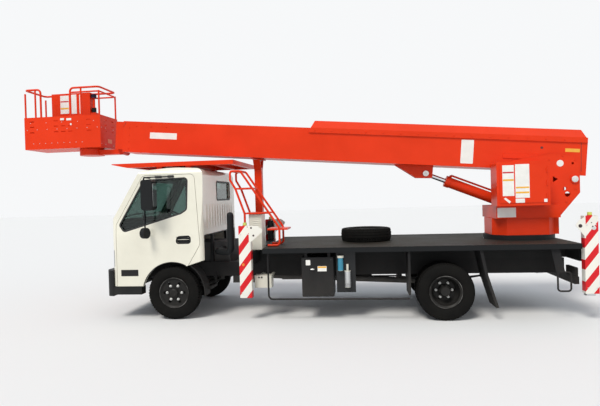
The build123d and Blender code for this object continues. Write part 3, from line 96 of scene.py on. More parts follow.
class Finish:
    """A node tree for one finish, put together from expressions on its shades."""

    def __init__(self, name, owner=None):
        self.material = owner or bpy.data.materials.new(name)
        self.material.use_nodes = True
        self.tree = self.material.node_tree
        self.tree.nodes.clear()
        if owner is None:
            self.shader = self.tree.nodes.new("ShaderNodeBsdfPrincipled")
            self.node("ShaderNodeOutputMaterial", {}, {0: Shade(self, self.shader.outputs[0])})

    def feed(self, socket, value):
        if isinstance(value, Shade):
            self.tree.links.new(value.socket, socket)
        else:
            socket.default_value = value

    def node(self, kind, settings, sockets, out=0):
        """Any node: its settings first, then the values or links of its sockets."""
        made = self.tree.nodes.new(kind)
        for key, value in settings.items():
            setattr(made, key, value)
        for key, value in sockets.items():
            self.feed(made.inputs[key], value)
        return Shade(self, made.outputs[out]) if made.outputs else made

    def place(self):
        """Object coordinates, whole and as three shades."""
        where = self.node("ShaderNodeTexCoord", {}, {}, out="Object")
        return where, *[self.node("ShaderNodeSeparateXYZ", {}, {0: where}, out=i) for i in range(3)]

    def upward(self):
        """How far the surface faces upwards: 1 on a flat top, 0 on a wall."""
        facing = self.node("ShaderNodeNewGeometry", {}, {}, out="Normal")
        return self.node("ShaderNodeSeparateXYZ", {}, {0: facing}, out=2).clip()

    def noise(self, where, scale, detail=3.0, rough=0.55, stretch=(1, 1, 1)):
        """Fractal noise about 0.5, squeezed along each axis by the stretch."""
        moved = self.node("ShaderNodeMapping", {}, {"Vector": where, "Scale": stretch})
        return self.node("ShaderNodeTexNoise", {}, {"Vector": moved, "Scale": scale, "Detail": detail,
                                                    "Roughness": rough})

    def wave(self, value, pitch):
        """A sine of the value that repeats at the pitch."""
        return (value * (math.tau / pitch)).sum("SINE")

    def mix(self, low, high, factor):
        """A colour between two others."""
        return self.node("ShaderNodeMix", {"data_type": "RGBA"}, {0: factor, 6: low, 7: high}, out=2)

    def bump(self, height, distance, strength=1.0):
        return self.node("ShaderNodeBump", {}, {"Height": height, "Distance": distance, "Strength": strength})

    def surface(self, **values):
        """The shader's own sockets, by their names in small letters."""
        for key, value in values.items():
            self.feed(self.shader.inputs[key.replace("_", " ").title().replace("Ior", "IOR")], value)
        return self

    def colour(self):
        """The shade that feeds the base colour so far, to lay more over it."""
        return Shade(self, self.shader.inputs["Base Color"].links[0].from_socket)


def piece(name, grids, finish, body=None, smooth=35, replaces=(), closed=True):
    """A mesh of one or more grids of points. Each grid is rows of rings, and a ring closes on itself unless
    the piece is open. Rows of one repeated point become poles once doubles are merged."""
    points, faces, start = [], [], 0
    for grid in grids:
        rows, ring = grid.shape[:2]
        index = np.arange(rows * ring).reshape(rows, ring) + start
        beside = np.roll(index, -1, axis=1) if closed else index[:, 1:]
        here = index if closed else index[:, :-1]
        faces.append(np.stack([here[:-1], beside[:-1], beside[1:], here[1:]], axis=-1).reshape(-1, 4))
        points.append(grid.reshape(-1, 3))
        start += rows * ring
    mesh = bpy.data.meshes.new(name)
    mesh.from_pydata(np.concatenate(points).tolist(), [], np.concatenate(faces).tolist())
    shape = bmesh.new()
    shape.from_mesh(mesh)
    bmesh.ops.remove_doubles(shape, verts=shape.verts, dist=1e-5)
    bmesh.ops.dissolve_degenerate(shape, edges=shape.edges, dist=1e-6)
    bmesh.ops.recalc_face_normals(shape, faces=shape.faces)
    shape.to_mesh(mesh)
    shape.free()
    made = bpy.data.objects.new(name, mesh)
    bpy.context.collection.objects.link(made)
    mesh.materials.append(finish.material)
    if smooth:
        mesh.shade_smooth()
        mesh.set_sharp_from_angle(angle=math.radians(smooth))
    if body:
        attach(made, body)
    if replaces:
        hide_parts(*replaces)
    return made


def dress(finish, *nodes):
    """A finish on CAD nodes whose shape stays."""
    for node in nodes:
        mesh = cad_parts[node].data
        mesh.materials.clear()
        mesh.materials.append(finish.material)


floor_finish = Finish("studio_floor")
floor_finish.surface(base_color=(0.80, 0.80, 0.79, 1), roughness=0.9)
floor_reach = 60
span = np.linspace(-floor_reach, floor_reach, 3)
ground = np.stack(np.meshgrid(span, span, [0.0], indexing="ij"), axis=-1)[:, :, 0]
floor = piece("studio_floor", [ground], floor_finish, smooth=0, closed=False)

world = bpy.data.worlds.new("studio_sky")
bpy.context.scene.world = world
sky = Finish("studio_sky", world)
rays = [sky.node("ShaderNodeLightPath", {}, {}, out=ray)
        for ray in ("Is Camera Ray", "Is Glossy Ray", "Is Transmission Ray")]
seen = rays[0].sum("MAXIMUM", rays[1]).sum("MAXIMUM", rays[2])
sky_light = sky.node("ShaderNodeBackground", {}, {0: (0.80, 0.86, 0.95, 1), 1: 0.62})
sky_seen = sky.node("ShaderNodeBackground", {}, {0: (0.93, 0.94, 0.95, 1), 1: 1.0})
sky_mix = sky.node("ShaderNodeMixShader", {}, {0: seen, 1: sky_light, 2: sky_seen})
sky.node("ShaderNodeOutputWorld", {}, {0: sky_mix})

for name, direction, energy, spread in (("sun", (-0.35, -0.75, 1.0), 2.2, 20),
                                        ("fill", (0.8, -0.9, 0.45), 0.45, 90)):
    lamp = bpy.data.lights.new(name, "SUN")
    lamp.energy = energy
    lamp.angle = math.radians(spread)
    lamp.color = (1.0, 0.965, 0.91)
    holder = bpy.data.objects.new(name, lamp)
    holder.rotation_euler = Vector(direction).to_track_quat("Z", "Y").to_euler()
    bpy.context.collection.objects.link(holder)

bpy.context.scene.view_settings.view_transform = "Standard"
# The camera that took the photograph: angles in radians, its place in metres and its focal length in pixels.
yaw, pitch, roll = -0.1228, -0.0111, -0.0289
focal_pixels = 502.93
photo_width_pixels = 600
sensor_width_mm = 36
forward = Vector((math.sin(yaw) * math.cos(pitch), math.cos(yaw) * math.cos(pitch), math.sin(pitch)))
across = Vector((math.cos(yaw), -math.sin(yaw), 0))
upright = across.cross(forward)
view_x = across * math.cos(roll) + upright * math.sin(roll)
view_y = upright * math.cos(roll) - across * math.sin(roll)
view = Matrix((view_x, view_y, -forward)).transposed().to_4x4()
view.translation = (at(2.7711), -7.9735, 1.7351)
camera = bpy.data.objects.new("photo_camera", bpy.data.cameras.new("photo_camera"))
camera.data.lens = focal_pixels / photo_width_pixels * sensor_width_mm
camera.matrix_world = view
bpy.context.collection.objects.link(camera)
bpy.context.scene.camera = camera

# Chassis: pressed channel rails, axles and leaf springs under one coat of black chassis paint, and the engine
# and gearbox in casting grey. Road dust gathers on all of it, most of it near the ground.
dust = (0.16, 0.142, 0.118, 1)


def sprayed(name, colour, roughness, coat=0.0, dusty=0.25, dust_top=1.1, metal=0.0, top_highlight=0.0, specular=0.16):
    """Sprayed paint. Its colour drifts slowly, dust fades out with height in soft patches, and upward faces
    carry a painted top highlight, paler by the share given. The bump is orange peel: fine noise two tenths of
    a millimetre deep."""
    paint = Finish(name)
    where, x, y, z = paint.place()
    drift = paint.noise(where, 1.7, detail=4)
    patch = paint.noise(where, 5.0, detail=5, stretch=(1.2, 1.2, 0.4))
    speck = paint.noise(where, 60.0, detail=2)
    low = ((dust_top - z) / dust_top).clip()
    film = ((low * 1.25 + 0.10) * (patch * 0.9 + 0.05) * (drift + 0.35) * dusty * 2.0).clip()
    deep = tuple(c * 0.88 for c in colour[:3]) + (1,)
    pale = tuple(min(1, c * 1.06 + 0.003) for c in colour[:3]) + (1,)
    body = paint.mix(deep, pale, (drift * 1.8 - 0.4).clip())
    # Painted top highlight: upward faces are mixed towards a paler colour, standing in for sky light on the
    # tops.
    if top_highlight:
        top_lit = tuple(0.55 * c + 0.25 for c in colour[:3]) + (1,)
        body = paint.mix(body, top_lit, paint.upward() * (drift * 0.6 + 0.7) * top_highlight)
    dull = (speck * 0.5 + patch * 0.5 + film).clip()
    peel = paint.noise(where, 420.0, detail=1)
    paint.surface(base_color=paint.mix(body, dust, film), metallic=metal, coat_weight=coat,
                  coat_roughness=0.12, roughness=(dull * 0.16 + roughness - 0.08 + film * 0.4).clip(),
                  specular_ior_level=specular, normal=paint.bump(peel, 0.0002, 0.35))
    return paint


chassis_paint = sprayed("chassis_paint", (0.014, 0.014, 0.015), 0.5, dusty=0.14, dust_top=0.9, specular=0.10)
casting_paint = sprayed("casting_paint", (0.07, 0.072, 0.075), 0.6, dusty=0.45, dust_top=1.2)
dress(chassis_paint, "chassis_frame", "axles", "leaf_springs", "fuel_tank", "guards", "knuckle_l",
      "knuckle_r", "locker", "locker_door", "rear_bumper")
dress(casting_paint, "drivetrain")

# Exhaust: silencer and pipe of aluminised steel, rolled, welded and hung from the frame. Heat and road film
# have turned it brown.
silencer_steel = sprayed("silencer_steel", (0.26, 0.23, 0.20), 0.5, dusty=0.5, dust_top=0.8, metal=0.8)
dress(silencer_steel, "exhaust")

# Subframe and deck: black paint over folded sheet. The top of the deck has small raised lozenges against
# slipping, and boots and weather have worn it to a brownish grey.
deck_paint = sprayed("deck_paint", (0.012, 0.013, 0.014), 0.5, dusty=0.14, dust_top=1.0, specular=0.12)
dress(deck_paint, "subframe", "slew_ring")
lozenge_pitch = 0.045
deck_tread = Finish("deck_tread")
where, x, y, z = deck_tread.place()
top = deck_tread.upward() > 0.7
turned = deck_tread.node("ShaderNodeMapping", {}, {"Vector": where, "Rotation": (0, 0, math.radians(45))})
turned_x = deck_tread.node("ShaderNodeSeparateXYZ", {}, {0: turned}, out=0)
turned_y = deck_tread.node("ShaderNodeSeparateXYZ", {}, {0: turned}, out=1)
lozenge = deck_tread.wave(turned_x, lozenge_pitch) * deck_tread.wave(turned_y, lozenge_pitch) > 0.55
scuff = (deck_tread.noise(where, 2.4, detail=6) * 1.9 - 0.45).clip() * top
grit = deck_tread.noise(where, 90.0, detail=2)
walked = deck_tread.mix((0.013, 0.012, 0.010, 1), (0.036, 0.033, 0.026, 1),
                        (scuff + lozenge * 0.15).clip())
deck_tread.surface(base_color=deck_tread.mix((0.012, 0.013, 0.014, 1), walked, top),
                   roughness=(grit * 0.25 + scuff * 0.2 + 0.42).clip(), specular_ior_level=0.12,
                   normal=deck_tread.bump(lozenge * top, 0.0012, 0.6))
dress(deck_tread, "deck")

# Cab: pressed steel panels, welded and sprayed in a warm white top coat. The doors carry the same coat, so
# their seams show only as gaps.
cab_paint = sprayed("cab_paint", (0.78, 0.755, 0.635), 0.24, coat=0.5, dusty=0.05, dust_top=1.2, specular=0.5)
dress(cab_paint, "cab_shell", "door_l", "door_r")

# Cab trim: bumper, mirror housings, cab floor, dashboard and air intake, moulded in grained black plastic and
# clipped or screwed on. The lower ones gather some dust.
trim = Finish("grained_trim")
where, x, y, z = trim.place()
grain = trim.noise(where, 700.0, detail=2)
film = ((trim.noise(where, 2.5, detail=5) * 1.6 - 0.45) * (1.1 - z).clip()).clip()
trim.surface(base_color=trim.mix((0.011, 0.012, 0.013, 1), dust, film * 0.18),
             roughness=(grain * 0.2 + 0.42).clip(), specular_ior_level=0.15,
             normal=trim.bump(grain, 0.0006, 0.4))
dress(trim, "bumper", "mirrors_l", "mirrors_r", "cab_floor", "dashboard", "air_intake")

# Cab glass: curved panes with a dark green tint, held in the openings of cab and doors by rubber seals.
# They are smooth and clear all over.
pane = Finish("cab_pane")
pane.surface(base_color=(0.24, 0.34, 0.31, 1), roughness=0.02, transmission_weight=1.0, ior=1.45)
dress(pane, "cab_glass", "door_glass_l", "door_glass_r")

# Seats: moulded foam cushions on steel frames, covered with a dark woven cloth that is sewn and pulled tight
# over them.
thread_pitch = 0.0035
cloth = Finish("seat_cloth")
where, x, y, z = cloth.place()
weave = cloth.wave(y + x, thread_pitch) * cloth.wave(z, thread_pitch)
crown = (weave * 0.5 + 0.5).clip()
cloth.surface(base_color=cloth.mix((0.03, 0.03, 0.034, 1), (0.06, 0.06, 0.066, 1), crown), roughness=0.9,
              normal=cloth.bump(weave, 0.0006, 0.5))
dress(cloth, "seats")

# Headlamps: a clear fluted plastic lens over two silvered bowls, one above the other, set in a dark surround
# in the nose of the cab. The bowls are a little wider than they are high.
lamp_middle = 0.80
bowl_squash = 0.55
bowl_sizes = ((0.968, 0.064), (0.830, 0.044))     # height over the ground, radius
lens = Finish("lamp_lens")
where, x, y, z = lens.place()
off = y.size() - lamp_middle
bowls = [(off * off * bowl_squash + (z - height) * (z - height)) < radius ** 2
         for height, radius in bowl_sizes]
bowl = (bowls[0] + bowls[1]).clip()
lens.surface(base_color=lens.mix((0.045, 0.048, 0.052, 1), (0.80, 0.81, 0.82, 1), bowl), roughness=0.14,
             metallic=bowl * 0.85, coat_weight=1.0, normal=lens.bump(lens.wave(y, 0.024), 0.002, 0.4))
dress(lens, "headlamps")

# Platform: boom, turret, basket, ladder, rest and roof guard share one coat of orange-red paint, with a
# painted highlight that makes what faces the sky paler. The rods of the lift cylinder and of the jacks are
# ground and chromed.
boom_paint = sprayed("boom_paint", (0.74, 0.038, 0.005), 0.36, coat=0.08, dusty=0.04, dust_top=1.6,
                     top_highlight=0.03, specular=0.1)
dress(boom_paint, "boom_base", "boom_hood", "boom_mid", "boom_tip", "turret_frame", "turret_box", "basket",
      "platform_bracket", "lift_barrel", "ladder", "boom_rest", "canopy")
chrome = Finish("rod_chrome")
where, x, y, z = chrome.place()
chrome.surface(base_color=(0.62, 0.63, 0.65, 1), metallic=1.0,
               roughness=(chrome.noise(where, 40) * 0.15 + 0.08).clip())
dress(chrome, "lift_rod", "jack_front_l", "jack_front_r", "jack_rear_l", "jack_rear_r")

# Outriggers: pressed white covers with slanted red bands, laid on like a barrier board, in front of black
# beams and jacks. The bands rise towards the rear and stop where the white ears begin.
stripe_pitch = 0.284
stripe_slope = 1.3
stripe_share = 0.45
stripe_start = {"front": 0.965, "rear": 6.340}
outrigger_places = {"front": 1.115, "rear": 5.710}
ear_bottom = 1.10
ear_starts = {"front": 0.062, "rear": -0.070}
hollow_reach = 1.044
hollow_half_width = 0.0785
hollow_tops = {"front": 1.349, "rear": 1.384}
cover_back = 0.938


def of_row(is_rear, values):
    """The front outriggers' value, or the rear ones' where the shade is 1."""
    return is_rear * (values["rear"] - values["front"]) + values["front"]


stripe = sprayed("striped_cover", (0.82, 0.80, 0.72), 0.32, coat=0.1, dusty=0.05)
where, x, y, z = stripe.place()
along = x - front_axle
is_rear = along > 3.0
beside = along - of_row(is_rear, outrigger_places)
rise = z - along * stripe_slope + of_row(is_rear, stripe_start)
banded = (rise % stripe_pitch) < stripe_share * stripe_pitch
past_start = (1 - is_rear) * (beside > ear_starts["front"]) + is_rear * (beside < ear_starts["rear"])
ear = (past_start * (z > ear_bottom)).clip()
hollow = (y.size() < hollow_reach) * (beside.size() < hollow_half_width) * (z < of_row(is_rear, hollow_tops))
behind = (hollow + (y.size() < cover_back)).clip()
red = stripe.mix((0.60, 0.010, 0.016, 1), (0.66, 0.018, 0.022, 1), stripe.noise(where, 6.0))
lined = stripe.mix(stripe.colour(), red, banded * (1 - ear))
stripe.surface(base_color=stripe.mix(lined, (0.017, 0.018, 0.019, 1), behind))
dress(stripe, "outrigger_front_l", "outrigger_front_r", "outrigger_rear_l", "outrigger_rear_r")

# Valve cabinet, oil box and pump bracket: folded sheet steel, welded and enamelled off-white, with a black
# plate behind the hand pump and its filter.
pump_plate_start = 2.0
pump_plate_face = -0.9315
enamel = sprayed("cabinet_enamel", (0.70, 0.68, 0.58), 0.4, coat=0.2, dusty=0.12, dust_top=1.2)
where, x, y, z = enamel.place()
pump_plate = (x > front_axle + pump_plate_start) * (y > pump_plate_face)
enamel.surface(base_color=enamel.mix(enamel.colour(), (0.016, 0.017, 0.018, 1), pump_plate))
dress(enamel, "hydraulic_units")

# Wheels: pressed steel rims in black paint with a painted highlight, a pale ring round the flange, and rubber
# # tyres with road dust on them. A rim and its tyre are one wheel, bolted to its hub.
axle_z = 0.39
axle_places = {"front": 0.0, "rear": 3.87}
highlight_radius = 0.2190
highlight_half_width = 0.0035
rim_paint = sprayed("rim_paint", (0.010, 0.010, 0.010), 0.4, dusty=0.08, dust_top=0.8)
where, x, y, z = rim_paint.place()
out = x - front_axle
out = out - (out > 2.0) * axle_places["rear"]
ring = (out * out + (z - axle_z) * (z - axle_z)).sum("SQRT")
# Painted highlight: a pale ring round the rim's flange, broken into patches.
highlight_patches = (rim_paint.noise(where, 7.0, detail=4) * 3.2 - 1.35).clip()
rim_highlight = (1 - (ring - highlight_radius).size() / highlight_half_width).clip() * highlight_patches
rim_paint.surface(base_color=rim_paint.mix(rim_paint.colour(), (0.38, 0.37, 0.35, 1), rim_highlight))
dress(rim_paint, "rim_fl", "rim_fr", "rims_rl", "rims_rr")
rubber = Finish("tyre_rubber")
where, x, y, z = rubber.place()
film = (rubber.noise(where, 4.0, detail=6) * 1.5 - 0.35).clip()
rubber.surface(base_color=rubber.mix((0.006, 0.006, 0.006, 1), (0.030, 0.027, 0.022, 1), film * 0.3),
               roughness=(rubber.noise(where, 120) * 0.2 + 0.7).clip(), specular_ior_level=0.06,
               normal=rubber.bump(rubber.noise(where, 300), 0.0008, 0.4))

# Tyres: seven of one size, moulded with three straight grooves and short cuts across both shoulders.
# The front pair sit single, the rear ones in twins, and the spare lies flat on the deck.
tyre_outline = np.array([(66, 204), (67, 222), (80, 234), (93, 252), (100, 275), (102.3, 300), (101.5, 322),
                         (98, 350), (92, 368), (87, 380)]) / 1000
tread_half = 0.080
tread_cut = 0.009
tread_steps = 46
groove_half = 0.0048
front_tyre_y = 0.8275
twin_tyre_y = (0.6625, 0.8975)
tyre_half_width = 0.1025
spare_x = 2.82
deck_top = 1.03
truck_sides = ((-1, "l"), (1, "r"))


def tyre_grid(centre, turn=240):
    """A tyre's skin: radius and offset along the axle follow the moulded outline, and on the tread the radius
    falls by the groove's depth where the offset is near a groove or the angle is inside a shoulder cut."""
    tread = np.linspace(tread_half, -tread_half, tread_steps)
    offset = np.concatenate([tyre_outline[:, 0], tread, -tyre_outline[::-1, 0]])
    radius = np.concatenate([tyre_outline[:, 1], axle_z - 24.0 * np.abs(tread) ** 3, tyre_outline[::-1, 1]])
    angle = np.linspace(0, math.tau, turn, endpoint=False)[:, None]
    groove = np.min(np.abs(offset[None] - np.array([-0.042, 0, 0.042])[:, None]), axis=0) < groove_half
    groove = groove & (np.abs(offset) <= tread_half)
    shoulder = (np.abs(offset) > 0.05) & (np.abs(offset) < 0.096) & (radius > 0.355)
    cut = (np.mod(angle * 60 / math.tau + np.sign(offset)[None] * 0.25, 1.0) < 0.26) & shoulder[None]
    depth = np.where(groove[None] | cut, tread_cut, 0.0)
    ring = radius[None] - depth
    grid = np.stack([np.cos(angle) * ring, np.broadcast_to(offset[None], ring.shape), np.sin(angle) * ring],
                    axis=-1)
    return np.swapaxes(grid, 0, 1) + np.array(centre)


for side, tag in truck_sides:
    single = tyre_grid((at(axle_places["front"]), side * front_tyre_y, axle_z))
    twins = [tyre_grid((at(axle_places["rear"]), side * y, axle_z)) for y in twin_tyre_y]
    piece(f"tyre_front_{tag}", [single], rubber, f"wheel_f{tag}", replaces=[f"tyre_f{tag}"])
    piece(f"tyres_rear_{tag}", twins, rubber, f"wheels_r{tag}", replaces=[f"tyres_r{tag}"])
spare_middle = np.array((at(spare_x), 0, deck_top + tyre_half_width))
spare_skin = tyre_grid((0, 0, 0))[:, :, [0, 2, 1]] + spare_middle


def turned_ring(profile, centre, axis, turn=96):
    """A turned part: each (along, radius) of the profile goes round the axis, which is y or z."""
    angle = np.linspace(0, math.tau, turn, endpoint=False)
    along = np.array(profile)[:, 0][:, None] + 0 * angle
    radius = np.array(profile)[:, 1][:, None]
    grid = np.stack([np.cos(angle) * radius, along, np.sin(angle) * radius], axis=-1)
    if axis == "z":
        grid = grid[:, :, [0, 2, 1]]
    return grid + np.array(centre)


spare_rim = [(-0.076, 0.222), (-0.070, 0.222), (-0.066, 0.2035), (-0.020, 0.198), (0.028, 0.197),
             (0.030, 0.112), (0.042, 0.110), (0.042, 0.190), (0.066, 0.2035), (0.070, 0.222), (0.076, 0.222),
             (0.074, 0.214), (0.058, 0.193), (-0.058, 0.193), (-0.074, 0.214), (-0.076, 0.222)]
piece("spare_tyre", [spare_skin], rubber, "truck")
piece("spare_rim", [turned_ring(spare_rim, spare_middle, "z")], rim_paint, "truck",
      replaces=["spare_wheel"])

# Wheel nuts: six steel nuts with flanges on each wheel, plated with zinc and screwed onto the studs, whose
# ends stand out of them.
nut_faces = {"front": 0.8795, "rear": 0.792}
bright = Finish("zinc_plate")
where, x, y, z = bright.place()
bright.surface(base_color=(0.66, 0.66, 0.64, 1), metallic=0.75,
               roughness=(bright.noise(where, 90) * 0.3 + 0.2).clip())


def stud_grid(centre, axis, stages, sides):
    """A bolt head or nut: a polygon of the given sides, one ring for each (height, radius), with both ends
    closed."""
    angle = np.linspace(0, math.tau, sides, endpoint=False)
    axis = np.array(axis, float) / np.linalg.norm(axis)
    lean = np.array((0, 0, 1.0)) if abs(axis[2]) < 0.9 else np.array((1.0, 0, 0))
    right = np.cross(lean, axis)
    right /= np.linalg.norm(right)
    up = np.cross(axis, right)
    stages = [(stages[0][0], 0.0), *stages, (stages[-1][0], 0.0)]
    rim = np.cos(angle)[:, None] * right + np.sin(angle)[:, None] * up
    return np.stack([np.array(centre) + axis * height + radius * rim for height, radius in stages])


def bolt_head(place, axis, radius, height, sides=6):
    """A bolt's head with a bevelled top."""
    return stud_grid(place, axis, [(0, radius), (0.7 * height, radius), (height, 0.8 * radius)], sides)


def nut_ring(x, y, side, circle=0.111, count=6):
    """Nuts spaced evenly round the hub over its studs, facing outwards."""
    angle = np.arange(count) * math.tau / count
    places = np.stack([x + circle * np.cos(angle), np.full(count, y), axle_z + circle * np.sin(angle)],
                      axis=1)
    grids = []
    for place in places:
        grids.append(stud_grid(place, (0, side, 0), [(0, 0.019), (0.005, 0.019), (0.006, 0.0165)], 16))
        grids.append(stud_grid(place, (0, side, 0), [(0.005, 0.0165), (0.021, 0.0165), (0.024, 0.013)], 6))
        grids.append(stud_grid(place, (0, side, 0), [(0.023, 0.009), (0.032, 0.009), (0.034, 0.007)], 12))
    return grids


for side, tag in truck_sides:
    for row, y in nut_faces.items():
        body = f"wheel_f{tag}" if row == "front" else f"wheels_r{tag}"
        piece(f"nuts_{row}_{tag}", nut_ring(at(axle_places[row]), side * y, side), bright, body)

# Cab seals: black rubber round the door windows, the windscreen and the rear window, pressed over the edge of
# the opening. Each is one closed bar whose path follows the opening on the skin.
seal_rubber = Finish("seal_rubber")
where, x, y, z = seal_rubber.place()
seal_rubber.surface(base_color=(0.010, 0.010, 0.011, 1),
                    roughness=(seal_rubber.noise(where, 160.0) * 0.2 + 0.45).clip())


def rounded(corners, step=7):
    """A closed outline through (a, b, radius) corners. Each corner is an arc between its tangent points,
    found by swinging the first radius to the last."""
    points = np.array([c[:2] for c in corners], float)
    radii = np.array([c[2] for c in corners], float)
    before = np.roll(points, 1, axis=0) - points
    after = np.roll(points, -1, axis=0) - points
    before /= np.linalg.norm(before, axis=1)[:, None]
    after /= np.linalg.norm(after, axis=1)[:, None]
    half = np.arccos(np.clip((before * after).sum(axis=1), -1, 1)) / 2
    reach = radii / np.tan(half)
    middle = before + after
    middle /= np.linalg.norm(middle, axis=1)[:, None]
    centre = points + middle * (radii / np.sin(half))[:, None]
    first = points + before * reach[:, None] - centre
    last = points + after * reach[:, None] - centre
    share = np.linspace(0, 1, step)[None, :, None]
    sweep = (math.pi - 2 * half)[:, None, None]
    swung = np.sin((1 - share) * sweep) * first[:, None] + np.sin(share * sweep) * last[:, None]
    return (centre[:, None] + swung / np.sin(sweep)).reshape(-1, 2)


def bar_grid(path, width, depth=None, sides=10, closed=False, facing=(0, 0, 1)):
    """A bar along a path. Its section is an ellipse, width across and depth towards the facing side, and is
    carried square to the path; an open bar closes to a point at each end."""
    depth = width if depth is None else depth
    path = np.array(path, float)
    if closed:
        tangent = np.roll(path, -1, axis=0) - np.roll(path, 1, axis=0)
    else:
        tangent = np.gradient(path, axis=0)
    tangent /= np.linalg.norm(tangent, axis=1)[:, None]
    across = np.cross(tangent, np.array(facing, float))
    across /= np.linalg.norm(across, axis=1)[:, None]
    towards = np.cross(across, tangent)
    angle = np.linspace(0, math.tau, sides, endpoint=False)
    grid = (path[:, None] + width * np.cos(angle)[None, :, None] * across[:, None]
            + depth * np.sin(angle)[None, :, None] * towards[:, None])
    if closed:
        return np.concatenate([grid, grid[:1]])
    first = np.repeat(path[:1, None], sides, axis=1)
    last = np.repeat(path[-1:, None], sides, axis=1)
    return np.concatenate([first, grid, last])


def route(x, y, z):
    """Points along a path from its places on the three axes, of which any may be one number."""
    return np.stack(np.broadcast_arrays(*[np.asarray(a, float) for a in (x, y, z)]), axis=-1)


def cab_side(z):
    """Distance of the cab's side from its middle: upright to the belt, then leaning in."""
    z = np.asarray(z, float)
    return np.minimum(0.95, 0.95 - (z - 1.25) * 0.085 / 0.99)


def screen_x(z):
    """The windscreen's place along the cab at each height."""
    return -0.924 + (np.asarray(z, float) - 1.436) * 0.429 / 0.754


door_bodies = ((-1, "l", "door_left"), (1, "r", "door_right"))
door_window = [(-0.420, 2.050, 0.060), (0.244, 2.070, 0.050), (0.235, 1.605, 0.060), (0.148, 1.550, 0.060),
               (-0.720, 1.300, 0.050), (-0.790, 1.400, 0.040)]
window_loop = rounded(door_window)
divider_z = np.linspace(1.420, 2.050, 12)
for side, tag, body in door_bodies:
    path = route(at(window_loop[:, 0]), side * (cab_side(window_loop[:, 1]) - 0.003), window_loop[:, 1])
    divider = route(at(-0.410), side * (cab_side(divider_z) - 0.008), divider_z)
    piece(f"window_seal_{tag}", [bar_grid(path, 0.013, 0.006, closed=True, facing=(0, side, 0)),
                                 bar_grid(divider, 0.012, 0.008, facing=(0, side, 0))], seal_rubber, body)
screen_loop = rounded([(-0.800, 1.470, 0.090), (-0.740, 2.060, 0.110), (0.740, 2.060, 0.110),
                       (0.800, 1.470, 0.090)])
rear_loop = rounded([(-0.180, 1.735, 0.035), (-0.180, 2.025, 0.035), (0.600, 2.025, 0.035),
                     (0.600, 1.735, 0.035)])
screen_path = route(at(screen_x(screen_loop[:, 1])) + 0.002, screen_loop[:, 0], screen_loop[:, 1])
rear_path = route(at(0.4775), rear_loop[:, 0], rear_loop[:, 1])
screen_facing = (-0.87, 0, 0.5)
screen_seal = bar_grid(screen_path, 0.017, 0.007, closed=True, facing=screen_facing)
rear_seal = bar_grid(rear_path, 0.014, 0.006, closed=True, facing=(1, 0, 0))
piece("screen_seals", [screen_seal, rear_seal], seal_rubber, "truck")

# Wipers: two pressed steel arms with rubber blades, painted black, each held by a nut on its spindle and
# parked along the foot of the windscreen.
wipers = []
share = np.linspace(0, 1, 8)
arm_z = 1.500 + 0.055 * share
blade_z = 1.520 + 0.03 * share
for y in (-0.62, 0.12):
    arm = route(at(screen_x(arm_z) - 0.022), y + 0.50 * share, arm_z)
    blade = route(at(screen_x(blade_z)) - 0.014, y + 0.10 + 0.56 * share, blade_z)
    wipers.append(bar_grid(arm, 0.008, 0.005, facing=screen_facing))
    wipers.append(bar_grid(blade, 0.006, 0.009, facing=screen_facing))
    wipers.append(stud_grid(arm[0], screen_facing, [(-0.02, 0.014), (0.006, 0.014), (0.009, 0.010)], 12))
piece("wipers", wipers, seal_rubber, "truck")

# Mirrors: silvered glass in the rear faces of both housings. The upper arm of each runs to two black clamps
# on the frame above the door window.
mirror_glass = Finish("mirror_glass")
where, x, y, z = mirror_glass.place()
mirror_glass.surface(base_color=(0.75, 0.77, 0.78, 1), metallic=1.0,
                     roughness=(mirror_glass.noise(where, 14.0) * 0.05 + 0.01).clip())


def slab_grid(outline, origin, right, up, thickness, edge=0.0015):
    """A thin plate: its outline at the back, at the front less the edge's bevel, and a point in the middle of
    each face. The front faces along right x up."""
    outline = np.asarray(outline, float)
    right, up = np.array(right, float), np.array(up, float)
    right /= np.linalg.norm(right)
    up /= np.linalg.norm(up)
    out = np.cross(right, up)
    middle = outline.mean(axis=0)
    size = np.abs(outline - middle).max()
    shrink = middle + (outline - middle) * (1 - edge / size)
    rings = [(np.broadcast_to(middle, outline.shape), 0.0), (outline, 0.0), (outline, thickness - edge),
             (shrink, thickness), (np.broadcast_to(middle, outline.shape), thickness)]
    return np.stack([np.array(origin) + flat[:, :1] * right + flat[:, 1:] * up + out * height
                     for flat, height in rings])


def panel(x_range, z_range, radius=0.004):
    """A rounded rectangle between two places on each axis, as an outline for a slab."""
    (a, b), (c, d) = x_range, z_range
    return rounded([(a, c, radius), (b, c, radius), (b, d, radius), (a, d, radius)], step=5)


def disc(x, z, radius, step=28):
    """A circle as an outline for a slab."""
    angle = np.linspace(0, math.tau, step, endpoint=False)
    return np.stack([x + radius * np.cos(angle), z + radius * np.sin(angle)], axis=1)


def side_slab(outline, y, side=-1, thickness=0.0015, lean=0.0, origin=(front_axle, 0.0)):
    """A slab on a face that looks to one side, from its outline as (along, up) from the origin. Both axes
    turn by the lean, and the outline is mirrored on the right, so that it keeps its place along the truck."""
    right = np.array((math.cos(lean), 0, -math.sin(lean)))
    up = (math.sin(lean), 0, math.cos(lean))
    flat = np.array(outline) * (-side, 1)
    return slab_grid(flat, (origin[0], y, origin[1]), -side * right, up, thickness, thickness / 3)


def plates(rows, y, side=-1, thickness=0.0015, radius=0.004):
    """Rounded plates on one side face, from rows of x from, x to, z from, z to."""
    return [side_slab(panel((a, b), (c, d), radius), y, side, thickness) for a, b, c, d in rows]


def end_slab(y_range, z_range, x, radius=0.004, thickness=0.0015):
    """A rounded plate on a face that looks to the rear."""
    outline = panel(y_range, z_range, radius)
    return slab_grid(outline, (at(x), 0, 0), (0, 1, 0), (0, 0, 1), thickness, thickness / 3)


